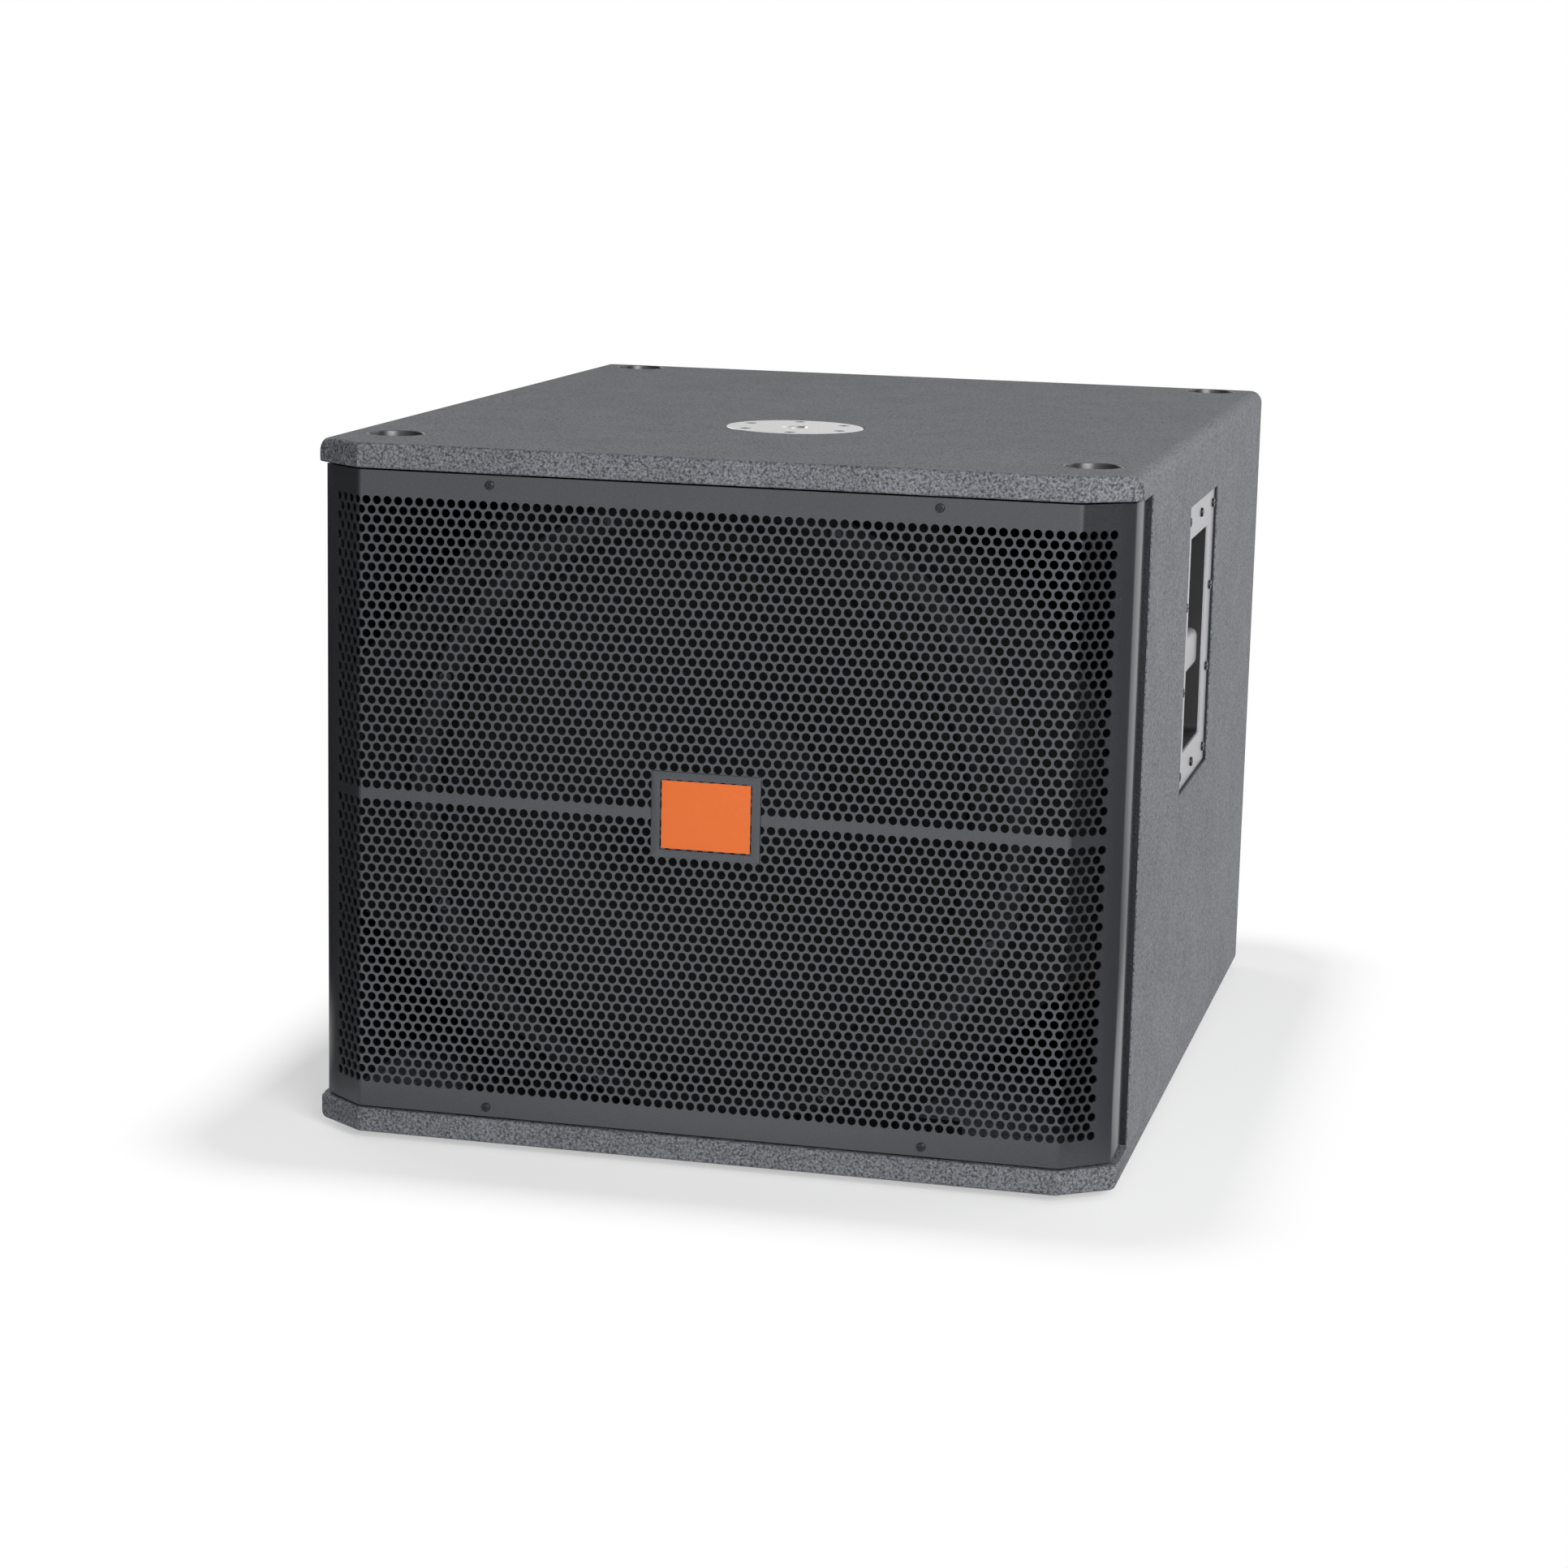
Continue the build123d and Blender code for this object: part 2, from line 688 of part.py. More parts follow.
def make_driver_frame():
    y0, y1 = frame_front, frame_back
    lip = y0 + frame_flange
    shell = frame_shell / cos(radians(45))
    bore = coil_radius + winding + frame_bore_gap
    profile = [
        (frame_inner_radius, y0), (frame_radius, y0), (frame_radius, lip),
        (cutout_radius - frame_cutout_gap, lip),
        (frame_cup_radius, frame_cup_front + shell / 2), (frame_cup_radius, y1),
        (bore, y1), (bore, y1 - frame_back_plate),
        (frame_cup_inner, y1 - frame_back_plate), (frame_cup_inner, frame_cup_front),
        (frame_cup_radius - frame_cup_step, frame_cup_front), (frame_inner_radius, lip - shell / 2),
    ]
    frame = turned(profile)
    y_cup, y_lip = frame_cup_front - opening_from_cup, lip + opening_from_lip
    opening = Polygon(
        (frame_cup_radius + opening_cup_gap, y_cup), (frame_radius, y_cup),
        (frame_radius, y_lip), (frame_inner_radius - opening_lip_gap, y_lip), align=None,
    )
    arc = 360 / spoke_count - spoke_angle
    window = revolve(opening, Axis.Y, revolution_arc=arc)
    for i in range(spoke_count):
        frame -= Pos(0, 0, middle_z) * Rot(0, i * 360 / spoke_count - arc / 2, 0) * window
    hole = Cylinder(bolt["shank"] + bolt_gap, 4 * frame_flange)
    frame = cut(frame, hole, bolt_places(y0))
    hole = Cylinder(bolt["shank"] + hole_gap, 2 * frame_back_plate)
    return cut(frame, hole, motor_bolt_places(y1 - frame_back_plate / 2))


def make_gasket():
    ring = ring_y(cutout_radius, frame_radius - gasket_inset, baffle_front - gasket, baffle_front)
    return cut(ring, Cylinder(bolt["shank"] + bolt_gap, 4 * gasket), bolt_places(baffle_front))


def make_tee_nut():
    # The flange bears on the back of the baffle and the barrel goes into it
    flange = Pos(0, 0, -nut_flange / 2) * Cylinder(nut_flange_radius, nut_flange)
    barrel = Pos(0, 0, nut_barrel / 2) * Cylinder(nut_barrel_radius, nut_barrel)
    return flange + barrel - Cylinder(bolt["shank"] + hole_gap, 4 * nut_barrel)


def make_motor():
    gap_outer = coil_radius + winding + gap_clearance
    pole = former_inner - gap_clearance
    plate = ring_y(gap_outer, front_plate_radius, frame_back, front_plate_back)
    hole = Cylinder(bolt["shank"] + hole_gap, 2 * motor_bolt_bite)
    plate = cut(plate, hole, motor_bolt_places(frame_back))
    magnet = ring_y(magnet_inner_radius, magnet_radius, front_plate_back, magnet_back)
    yoke = turned([
        (vent_radius, frame_back), (pole, frame_back), (pole, magnet_back),
        (front_plate_radius, magnet_back), (front_plate_radius, motor_back), (vent_radius, motor_back),
    ])
    return plate, magnet, yoke


def make_cone():
    neck = coil_radius + glue_line
    land = cone_radius - cone_land
    slope = (cone_neck_y - cone_rim_y) / (land - neck)
    thick = cone_thickness * sqrt(1 + slope * slope)
    cone = turned([
        (neck, cone_neck_y), (land, cone_rim_y), (cone_radius, cone_rim_y),
        (cone_radius, cone_rim_y + cone_thickness), (land, cone_rim_y + thick),
        (neck, cone_neck_y + thick),
    ])
    cap_y = cone_neck_y - (cap_radius - neck) * slope - 2 * glue_line
    return cone, make_dust_cap(cap_y)


def make_dust_cap(edge_y):
    # A dome between two arcs about one centre on the driver's axis
    outer = (cap_radius ** 2 + cap_rise ** 2) / (2 * cap_rise)
    inner = outer - cap_thickness
    centre_y = edge_y - cap_rise + outer
    spreads = (asin(cap_radius / outer), acos((outer - cap_rise) / inner))
    arcs = []
    for radius, spread in zip((outer, inner), spreads):
        turns = (0, spread / 2, spread)
        spots = [(radius * sin(turn), centre_y - radius * cos(turn)) for turn in turns]
        arcs.append(ThreePointArc(*spots))
    sides = [Line(arcs[0] @ k, arcs[1] @ k) for k in (0, 1)]
    return Pos(0, 0, middle_z) * revolve(make_face(arcs + sides), Axis.Y)


def make_coil():
    middle = frame_back + front_plate / 2
    y0, y1 = middle - winding_length / 2, middle + winding_length / 2
    tube = ring_y(former_inner, coil_radius, cone_neck_y - former_over_neck, y1 + former_past_winding)
    return tube, ring_y(coil_radius, coil_radius + winding, y0, y1)


def make_surround():
    # One half roll between the frame's face and the cone's rim, with a flat land at each edge
    t = surround_thickness
    y_out = frame_front
    y_in = cone_rim_y - glue_line
    outer, inner = frame_inner_radius, cone_radius
    mid = (outer + inner) / 2
    top = y_in - t - surround_rise
    front_edge = [
        Line((outer + surround_land, y_out - t), (outer, y_out - t)),
        ThreePointArc((outer, y_out - t), (mid, top), (inner, y_in - t)),
        Line((inner, y_in - t), (inner - cone_land, y_in - t)),
    ]
    back_edge = [
        Line((inner - cone_land, y_in), (inner + t, y_in)),
        ThreePointArc((inner + t, y_in), (mid, top + t), (outer - t, y_out - t)),
        Line((outer - t, y_out - t), (outer - t, y_out)),
        Line((outer - t, y_out), (outer + surround_land, y_out)),
    ]
    ends = [
        Line((inner - cone_land, y_in - t), (inner - cone_land, y_in)),
        Line((outer + surround_land, y_out), (outer + surround_land, y_out - t)),
    ]
    return Pos(0, 0, middle_z) * revolve(make_face(front_edge + back_edge + ends), Axis.Y)


def make_spider():
    t = spider_thickness
    y_out = frame_cup_front
    y_in = y_out - spider_cup
    inner = coil_radius + glue_line
    outer = frame_cup_inner
    neck, rim, bend = inner + spider_land, outer + spider_land, outer - spider_bend
    return turned([
        (inner, y_in + t), (neck, y_in + t), (bend - spider_bend, y_out), (rim, y_out), (rim, y_out - t),
        (bend, y_out - t), (bend, y_out - t - spider_step), (neck, y_in), (inner, y_in),
    ])


def make_terminal_block():
    y0 = frame_back - terminal_from_back
    half = terminal_width / 2
    body = block(-half, half, y0, y0 + terminal_length, terminal_z - terminal_height, terminal_z)
    low = terminal_z - terminal_height
    for x in (-tag_spacing / 2, tag_spacing / 2):
        body += rod_z(x, y0 + terminal_length / 2, low - tag_drop, low + tag_root, tag_radius)
    return fillet(body.edges().filter_by(Axis.Y), terminal_corner)


def cable_route():
    # From the terminal block down to the box's floor, back through the brace and up to the socket
    low = inner_bottom + clip_wall + cable_radius
    start_y = frame_back - 6
    socket_y = back - input_recess + input_plate + socket_flange - socket_length
    x = -socket_spacing / 2
    return [
        (0, start_y, terminal_z - 7), (0, start_y + 46, terminal_z - 7), (0, start_y + 92, terminal_z - 55),
        (0, start_y + 122, low), (0, 250, low), (x, 300, low), (x, 328, low + 34),
        (x, socket_y - 26, input_mid_z - 44), (x, socket_y - 26, input_mid_z), (x, socket_y, input_mid_z),
    ]


def make_cable():
    route = cable_route()
    radii = []
    for i in range(1, len(route) - 1):
        before = Vector(*route[i]) - Vector(*route[i - 1])
        after = Vector(*route[i + 1]) - Vector(*route[i])
        half_turn = radians(before.get_angle(after)) / 2
        radii.append(0.45 * min(before.length, after.length) / tan(half_turn))
    print("cable radii", [round(r, 1) for r in radii])
    path = FilletPolyline(*route, radius=radii)
    section = Plane(origin=path @ 0, z_dir=path % 0) * Circle(cable_radius)
    cable = sweep(section, path)
    print("cable volume over section times length", cable.volume / (section.area * path.length))
    return cable


def make_clip(y):
    # A saddle over the cable, screwed down beside it
    low = inner_bottom + clip_wall + cable_radius
    hole = cable_radius + clip_gap
    half = clip_width / 2
    outer = hole + clip_wall
    body = block(-outer, outer, y - half, y + half, inner_bottom, low + outer)
    body += block(-outer - clip_tab, -hole, y - half, y + half, inner_bottom, inner_bottom + clip_wall)
    body -= rod_y(0, low, y - clip_width, y + clip_width, hole)
    return body


def build():
    parts = {
        "top_panel": make_top_panel(),
        "bottom_panel": make_bottom_panel(),
        "left_side_panel": make_side_panel(-1),
        "right_side_panel": make_side_panel(1),
        "back_panel": make_back_panel(),
        "front_baffle": make_baffle(),
        "window_brace": make_brace(),
        "pole_backing_board": make_backing_board(),
        "grille_blocks": make_grille_blocks(),
        "grille": make_grille(),
        "grille_screws": group(pan_screw(grille_screw), grille_screw_places(grille_front)),
        "pole_plate": make_pole_plate(),
        "pole_plate_screws": group(flat_screw_solid(plate_screw), pole_screw_places()),
        "stacking_cups": group(make_stacking_cup(), [Pos(x, y, top_z) for x, y in cup_places]),
        "stacking_cup_screws": group(flat_screw_solid(cup_screw), cup_screw_places()),
        "rubber_feet": group(make_foot(), [Pos(x, y, 0) for x, y in cup_places]),
        "foot_screws": group(pan_screw(foot_screw), foot_screw_places()),
        "input_plate": make_input_plate(),
        "input_plate_screws": group(pan_screw(wood_screw), input_screw_places()),
        "speaker_cable": make_cable(),
        "cable_clips": Compound(children=[make_clip(y) for y in clip_places]),
    }
    parts["badge_frame"], parts["badge_plate"] = make_badge()
    for name, sx in (("left", -1), ("right", 1)):
        parts[f"upper_{name}_port_board"] = make_port_board(sx, 1)
        parts[f"lower_{name}_port_board"] = make_port_board(sx, -1)
        plate, cup, grip = make_handle(sx)
        parts[f"{name}_handle_plate"] = plate
        parts[f"{name}_handle_cup"] = cup
        parts[f"{name}_handle_grip"] = grip
        parts[f"{name}_handle_screws"] = group(pan_screw(wood_screw), handle_screw_places(sx))
    parts.update(make_cleats())
    parts.update(make_linings())
    half = socket_spacing / 2
    for name, x in (("input_socket", -half), ("link_socket", half)):
        parts[name] = make_socket(x)
        parts[name + "_screws"] = group(pan_screw(small_screw), socket_screw_places(x))
    parts["driver_frame"] = make_driver_frame()
    parts["frame_gasket"] = make_gasket()
    parts["driver_bolts"] = group(cap_bolt(frame_flange + gasket + wall), bolt_places(frame_front))
    parts["tee_nuts"] = group(make_tee_nut(), bolt_places(baffle_back))
    parts["motor_front_plate"], parts["magnet"], parts["motor_back_plate"] = make_motor()
    motor_places = motor_bolt_places(frame_back - frame_back_plate)
    parts["motor_bolts"] = group(cap_bolt(frame_back_plate + motor_bolt_bite - hole_gap), motor_places)
    parts["terminal_block"] = make_terminal_block()
    parts["surround"] = make_surround()
    parts["spider"] = make_spider()
    parts["cone"], parts["dust_cap"] = make_cone()
    parts["coil_former"], parts["coil_winding"] = make_coil()
    return parts


os.makedirs("parts", exist_ok=True)
for node, shape in build().items():
    export_step(shape, f"parts/{node}.step")
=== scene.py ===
import json
from math import atan2, cos, hypot, pi, radians, sin

import bpy
from mathutils import Matrix, Vector


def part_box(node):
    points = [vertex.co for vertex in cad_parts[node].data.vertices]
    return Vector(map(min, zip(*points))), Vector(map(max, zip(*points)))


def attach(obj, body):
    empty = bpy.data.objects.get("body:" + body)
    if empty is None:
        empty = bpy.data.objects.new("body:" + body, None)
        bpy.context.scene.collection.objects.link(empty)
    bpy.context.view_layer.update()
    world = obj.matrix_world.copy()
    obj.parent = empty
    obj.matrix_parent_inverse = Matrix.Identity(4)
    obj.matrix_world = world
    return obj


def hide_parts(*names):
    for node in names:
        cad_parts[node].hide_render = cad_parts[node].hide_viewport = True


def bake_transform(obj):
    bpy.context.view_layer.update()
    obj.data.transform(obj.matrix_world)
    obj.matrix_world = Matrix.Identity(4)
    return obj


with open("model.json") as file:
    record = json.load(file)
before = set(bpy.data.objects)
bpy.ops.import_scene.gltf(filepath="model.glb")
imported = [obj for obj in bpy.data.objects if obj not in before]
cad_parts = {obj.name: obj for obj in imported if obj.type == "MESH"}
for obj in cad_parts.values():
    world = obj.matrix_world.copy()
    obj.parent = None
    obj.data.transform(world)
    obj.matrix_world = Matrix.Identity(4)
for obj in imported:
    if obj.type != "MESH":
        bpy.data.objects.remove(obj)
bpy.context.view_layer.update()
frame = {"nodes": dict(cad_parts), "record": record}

nodes = frame["nodes"]
mm = 0.001
tiny, close = 1e-6, 1e-5  # two places no further apart than this count as one
straight = 0.99  # how much of a direction lies on an axis when it counts as running along it

# places that several pieces share, all read from the frame
cabinetLow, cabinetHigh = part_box("top_panel")[0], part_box("top_panel")[1]
grilleLow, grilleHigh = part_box("grille")
halfWidth = cabinetHigh.x
topZ = cabinetHigh.z
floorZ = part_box("bottom_panel")[0].z
middleZ = (floorZ + topZ) / 2
frontY, backY = cabinetLow.y, cabinetHigh.y


# selecting and shaping, the way it is done by hand
def deselect():
    bpy.ops.object.select_all(action="DESELECT")


def take(piece):
    deselect()
    piece.select_set(True)
    bpy.context.view_layer.objects.active = piece


def startEdit(piece, kind="VERT"):
    take(piece)
    bpy.ops.object.mode_set(mode="EDIT")
    bpy.ops.mesh.select_mode(type=kind)


def endEdit():
    bpy.ops.object.mode_set(mode="OBJECT")


def pick(piece, test, kind="VERT"):
    # selects the vertices, edges or faces whose middle passes the test, and stays in edit mode
    startEdit(piece, kind)
    bpy.ops.mesh.select_all(action="DESELECT")
    endEdit()
    mesh = piece.data
    if kind == "VERT":
        for vertex in mesh.vertices:
            vertex.select = test(vertex.co)
    elif kind == "FACE":
        for face in mesh.polygons:
            face.select = test(face.center, face.normal)
    else:
        for edge in mesh.edges:
            a, b = (mesh.vertices[i].co for i in edge.vertices)
            edge.select = test((a + b) / 2, a - b)
    startEdit(piece, kind)


def newPiece(name):
    piece = bpy.context.active_object
    piece.name = name
    piece.data.name = name
    return piece


def applyPlace(piece):
    take(piece)
    bpy.ops.object.transform_apply(location=True, rotation=True, scale=True)


def addModifier(piece, kind, **settings):
    take(piece)
    modifier = piece.modifiers.new(kind.title(), kind)
    for name, value in settings.items():
        setattr(modifier, name, value)
    bpy.ops.object.modifier_apply(modifier=modifier.name)


def mergeDoubles(piece, distance=tiny):
    startEdit(piece)
    bpy.ops.mesh.select_all(action="SELECT")
    bpy.ops.mesh.remove_doubles(threshold=distance)
    bpy.ops.mesh.normals_make_consistent(inside=False)
    endEdit()


def smooth(piece, angle=35):
    take(piece)
    bpy.ops.object.shade_smooth_by_angle(angle=radians(angle))


def joined(name, pieces):
    deselect()
    for piece in pieces:
        piece.select_set(True)
    bpy.context.view_layer.objects.active = pieces[0]
    if len(pieces) > 1:
        bpy.ops.object.join()
    return newPiece(name)


def copied(piece, matrix):
    # a copy with its own mesh, set in its place
    twin = piece.copy()
    twin.data = piece.data.copy()
    bpy.context.collection.objects.link(twin)
    twin.data.transform(matrix)
    return twin


def repeated(name, piece, matrices):
    # the same shape at each place, and the pattern itself removed
    twins = [copied(piece, matrix) for matrix in matrices]
    bpy.data.objects.remove(piece)
    return joined(name, twins)


def drawn(name, outline):
    # a line through points of (radius, height), made by extruding one point, and left in edit mode
    deselect()
    bpy.ops.mesh.primitive_plane_add(size=mm, location=(0, 0, 0))
    piece = newPiece(name)
    startEdit(piece)
    bpy.ops.mesh.select_all(action="SELECT")
    bpy.ops.mesh.merge(type="CENTER")
    bpy.ops.transform.translate(value=(outline[0][0], 0, outline[0][1]))
    for (r0, h0), (r1, h1) in zip(outline, outline[1:]):
        bpy.ops.mesh.extrude_region_move(TRANSFORM_OT_translate={"value": (r1 - r0, 0, h1 - h0)})
    return piece


def turned(name, outline, steps, aroundDriver=False):
    # spins an outline of (radius, height) upright, or, for a driver piece, an outline of
    # (radius, Y place) about the driver's axis
    if aroundDriver:
        outline = [(radius, -place) for radius, place in outline]
    piece = drawn(name, outline)
    bpy.ops.mesh.select_all(action="SELECT")
    bpy.ops.mesh.spin(steps=steps, angle=2 * pi, center=(0, 0, 0), axis=(0, 0, 1))
    endEdit()
    mergeDoubles(piece, 2 * tiny)
    if aroundDriver:
        piece.data.transform(Matrix.Rotation(pi / 2, 4, "X"))
        moved(piece, z=middleZ)
    return piece


def slab(name, low, high):
    # a box between two corners
    deselect()
    middle = (Vector(low) + Vector(high)) / 2
    bpy.ops.mesh.primitive_cube_add(size=1, location=middle)
    piece = newPiece(name)
    piece.scale = Vector(high) - Vector(low)
    applyPlace(piece)
    return piece


def roundEdges(piece, test, width, segments=3):
    pick(piece, test, "EDGE")
    bpy.ops.mesh.bevel(offset=width, segments=segments, affect="EDGES")
    endEdit()


def along(letter):
    # an edge test: the edge runs along this axis
    i = "XYZ".index(letter)
    return lambda mid, line: abs(line[i]) > straight * line.length


def rimOf(letter, place, leastSlant=1.5 * mm):
    # an edge test: on the face at this place, and not a slanting line across it
    i = "XYZ".index(letter)
    others = [k for k in range(3) if k != i]

    def onRim(mid, line):
        slanting = all(abs(line[k]) > leastSlant for k in others)
        return abs(mid[i] - place) < tiny and not slanting
    return onRim


def cutWindow(piece, axis, low, high):
    # a hole straight through a slab, between two corners: both faces are inset and bridged
    i = "XYZ".index(axis)
    others = [k for k in range(3) if k != i]
    pick(piece, lambda mid, normal: abs(normal[i]) > straight, "FACE")
    bpy.ops.mesh.inset(thickness=1 * mm, use_individual=True)  # the corners move to their places below
    endEdit()
    faces = [f for f in piece.data.polygons if f.select]
    corners = {v for f in faces for v in f.vertices}
    middle = [sum(piece.data.vertices[v].co[k] for v in corners) / len(corners) for k in range(3)]
    for v in corners:
        co = piece.data.vertices[v].co
        for k in others:
            co[k] = low[k] if co[k] < middle[k] else high[k]
    startEdit(piece, "FACE")
    bpy.ops.mesh.bridge_edge_loops()
    endEdit()


def moved(piece, x=0, y=0, z=0):
    piece.data.transform(Matrix.Translation((x, y, z)))


def faceFront(piece):
    # an open sheet about the driver's axis gets its faces turned to the front
    if sum(f.normal.y * f.area for f in piece.data.polygons) > 0:
        startEdit(piece)
        bpy.ops.mesh.select_all(action="SELECT")
        bpy.ops.mesh.flip_normals()
        endEdit()


def arc(middle, radius, start, end, count):
    # points on a circle, from one angle to another in degrees
    turns = [radians(start + (end - start) * i / count) for i in range(count + 1)]
    return [(middle[0] + radius * cos(t), middle[1] + radius * sin(t)) for t in turns]


def done(piece, body, slot, *replaced):
    # the piece's finish, the body that it rides on, and the CAD nodes that it stands for
    piece.data.materials.clear()
    piece.data.materials.append(finishes[slot])
    if body:
        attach(piece, body)
    if replaced:
        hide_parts(*replaced)


# shader maths written as Python
class Wire:
    def __init__(self, tree, socket):
        self.tree = tree
        self.socket = socket

    def add(self, kind, settings=None, sockets=None, output=0):
        # any node: its settings first, then the values or links of its sockets
        node = self.tree.nodes.new(kind)
        for name, value in (settings or {}).items():
            if name == "stops":
                ramp = node.color_ramp
                while len(ramp.elements) < len(value):
                    ramp.elements.new(0.5)
                for stop, (place, shade) in zip(ramp.elements, value):
                    stop.position = place
                    stop.color = (shade, shade, shade, 1)
            else:
                setattr(node, name, value)
        for name, value in (sockets or {}).items():
            if isinstance(value, Wire):
                self.tree.links.new(value.socket, node.inputs[name])
            else:
                node.inputs[name].default_value = value
        return Wire(self.tree, node.outputs[output])

    def math(self, operation, first, second=0.0):
        return self.add("ShaderNodeMath", {"operation": operation}, {0: first, 1: second})

    def __add__(self, other):
        return self.math("ADD", self, other)

    def __radd__(self, other):
        return self.math("ADD", other, self)

    def __sub__(self, other):
        return self.math("SUBTRACT", self, other)

    def __rsub__(self, other):
        return self.math("SUBTRACT", other, self)

    def __mul__(self, other):
        return self.math("MULTIPLY", self, other)

    def __rmul__(self, other):
        return self.math("MULTIPLY", other, self)

    def __gt__(self, other):
        return self.math("GREATER_THAN", self, other)

    def __lt__(self, other):
        return self.math("LESS_THAN", self, other)

    def __abs__(self):
        return self.math("ABSOLUTE", self)

    def atLeast(self, least):
        return self.math("MAXIMUM", self, least)

    def rise(self, start, end):
        # 0 before start, 1 after end, eased between them
        sockets = {"Value": self, "From Min": start, "From Max": end}
        return self.add("ShaderNodeMapRange", {"interpolation_type": "SMOOTHSTEP"}, sockets)

    def wave(self, pitch):
        # 0 to 1 and back, twice in each pitch
        turn = self * (2 * pi / pitch)
        return abs(turn.math("SINE", turn))

    def blend(self, low, high):
        # a colour between two, by this mask
        low, high = ((*c, 1) if isinstance(c, tuple) else c for c in (low, high))
        settings = {"data_type": "RGBA"}
        return self.add("ShaderNodeMix", settings, {0: self, 6: low, 7: high}, output=2)

    def noise(self, scale, detail=3, roughness=0.5):
        sockets = {"Vector": self, "Scale": scale, "Detail": detail, "Roughness": roughness}
        return self.add("ShaderNodeTexNoise", None, sockets)

    def cells(self, scale):
        # how far each spot is from the nearest pebble's middle
        return self.add("ShaderNodeTexVoronoi", {"feature": "F1"}, {"Vector": self, "Scale": scale})

    def ramp(self, *stops):
        return self.add("ShaderNodeValToRGB", {"stops": stops}, {0: self})

    def part(self, letter):
        return self.add("ShaderNodeSeparateXYZ", None, {0: self}, output="XYZ".index(letter))

    def stretched(self, scale):
        return self.add("ShaderNodeMapping", None, {"Vector": self, "Scale": scale})

    def bump(self, height, depth, strength):
        sockets = {"Strength": strength, "Distance": depth, "Height": height}
        return self.add("ShaderNodeBump", None, sockets)


finishes = {}


def finish(name, painted, **fixed):
    # a material: uniform values set on the shader, varying ones linked from painted(place)
    material = bpy.data.materials.new(name)
    material.use_nodes = True
    tree = material.node_tree
    shader = tree.nodes["Principled BSDF"]
    for socket, value in fixed.items():
        shader.inputs[socket.replace("_", " ")].default_value = value
    place = Wire(tree, tree.nodes.new("ShaderNodeTexCoord").outputs["Object"])
    for socket, value in painted(place).items():
        tree.links.new(value.socket, shader.inputs[socket])
    finishes[name] = material


coating = {
    "low": (0.030, 0.031, 0.034),
    "high": (0.205, 0.211, 0.230),
    "black": (0.004, 0.004, 0.005),
    "grain": 640,
    "lumps": 430,
    "patches": 22,
    "pebbleShare": 0.45,
    "patchShare": 0.2,
    "darkBelow": 0.72,
    "lightAbove": 0.44,
    "roughness": 0.42,
    "lumpRoughness": 0.3,
    "depth": 0.4 * mm,
    "cutBoard": 19 * mm,
    "sideSkin": 0.9 * mm,
}
coldSheen = (0.88, 0.93, 1.0, 1)


def coatingFinish(place):
    # sprayed pebbly coat, painted lighter on the pebbles' crowns and darker in the dips between them
    # (painted highlight and shade), with random patches of tone; and flat black between the boards that
    # stand proud of the grille, painted shade inside the cabinet
    apart = place.cells(coating["grain"])
    pebbles = 1 - apart * apart
    lumps = place.noise(coating["lumps"], 3, 0.6)
    height = pebbles * coating["pebbleShare"] + lumps
    patches = place.noise(coating["patches"], 5, 0.65)
    shade = height - coating["darkBelow"] + patches * coating["patchShare"]
    # the coat's colour follows the pebbles' height: painted highlight on the crowns, painted shade in the
    # dips, mixed with random patches
    mottleAndPebbleLight = shade.ramp((0.0, 0), (coating["lightAbove"], 1))
    coat = mottleAndPebbleLight.blend(coating["low"], coating["high"])
    # the coat's faces inside the cabinet and behind the grille are set near-black: painted shade of the
    # closed box
    x, y, z = (place.part(letter) for letter in "XYZ")
    board = coating["cutBoard"]
    sides = abs(x) < halfWidth - coating["sideSkin"]
    below = z < topZ - board
    above = z > floorZ + board
    inFront = y < backY - board
    insideShade = sides * below * above * inFront
    return {
        "Base Color": insideShade.blend(coat, coating["black"]),
        "Roughness": coating["roughness"] + lumps * coating["lumpRoughness"],
        "Normal": place.bump(height, coating["depth"], 0.8),
    }


def paint(name, low, high, grains, depth, rough, swing=0.2, stretch=(1, 1, 1), detail=4, **fixed):
    # a colour that wanders a little, with a fine grain; a number stands for a grey, depth is in mm
    low, high = (c if isinstance(c, tuple) else (c, c, c) for c in (low, high))

    def painted(place):
        grain = place.stretched(stretch).noise(grains, detail)
        fine = place.noise(grains * 3, 2)
        return {
            "Base Color": grain.blend(low, high),
            "Roughness": rough + grain * swing,
            "Normal": place.bump(grain * 0.6 + fine * 0.4, depth * mm, 0.6),
        }
    finish(name, painted, **fixed)


def plyFinish(place):
    # long grain along the width, with fine pores
    grain = place.stretched((1, 18, 18)).noise(9, 5, 0.6)
    pores = place.stretched((4, 160, 160)).noise(9, 2)
    return {
        "Base Color": grain.blend((0.42, 0.28, 0.15), (0.62, 0.46, 0.29)),
        "Roughness": 0.6 + pores * 0.2,
        "Normal": place.bump(pores, 0.15 * mm, 0.5),
    }


def wovenFinish(low, high, pitch):
    # threads that cross at this pitch
    def painted(place):
        across, up = (place.part(letter).wave(pitch) for letter in "XZ")
        weave = across * up
        return {
            "Base Color": weave.blend(low, high),
            "Roughness": 0.95 - weave * 0.2,
            "Normal": place.bump(weave, 0.12 * mm, 0.8),
        }
    return painted


def windingFinish(place):
    # copper wire in turns side by side along the coil
    turns = place.part("Y").wave(1.8 * mm)
    return {
        "Base Color": turns.blend((0.28, 0.09, 0.03), (0.75, 0.36, 0.16)),
        "Roughness": 0.45 - turns * 0.2,
        "Normal": place.bump(turns, 0.35 * mm, 1.0),
    }


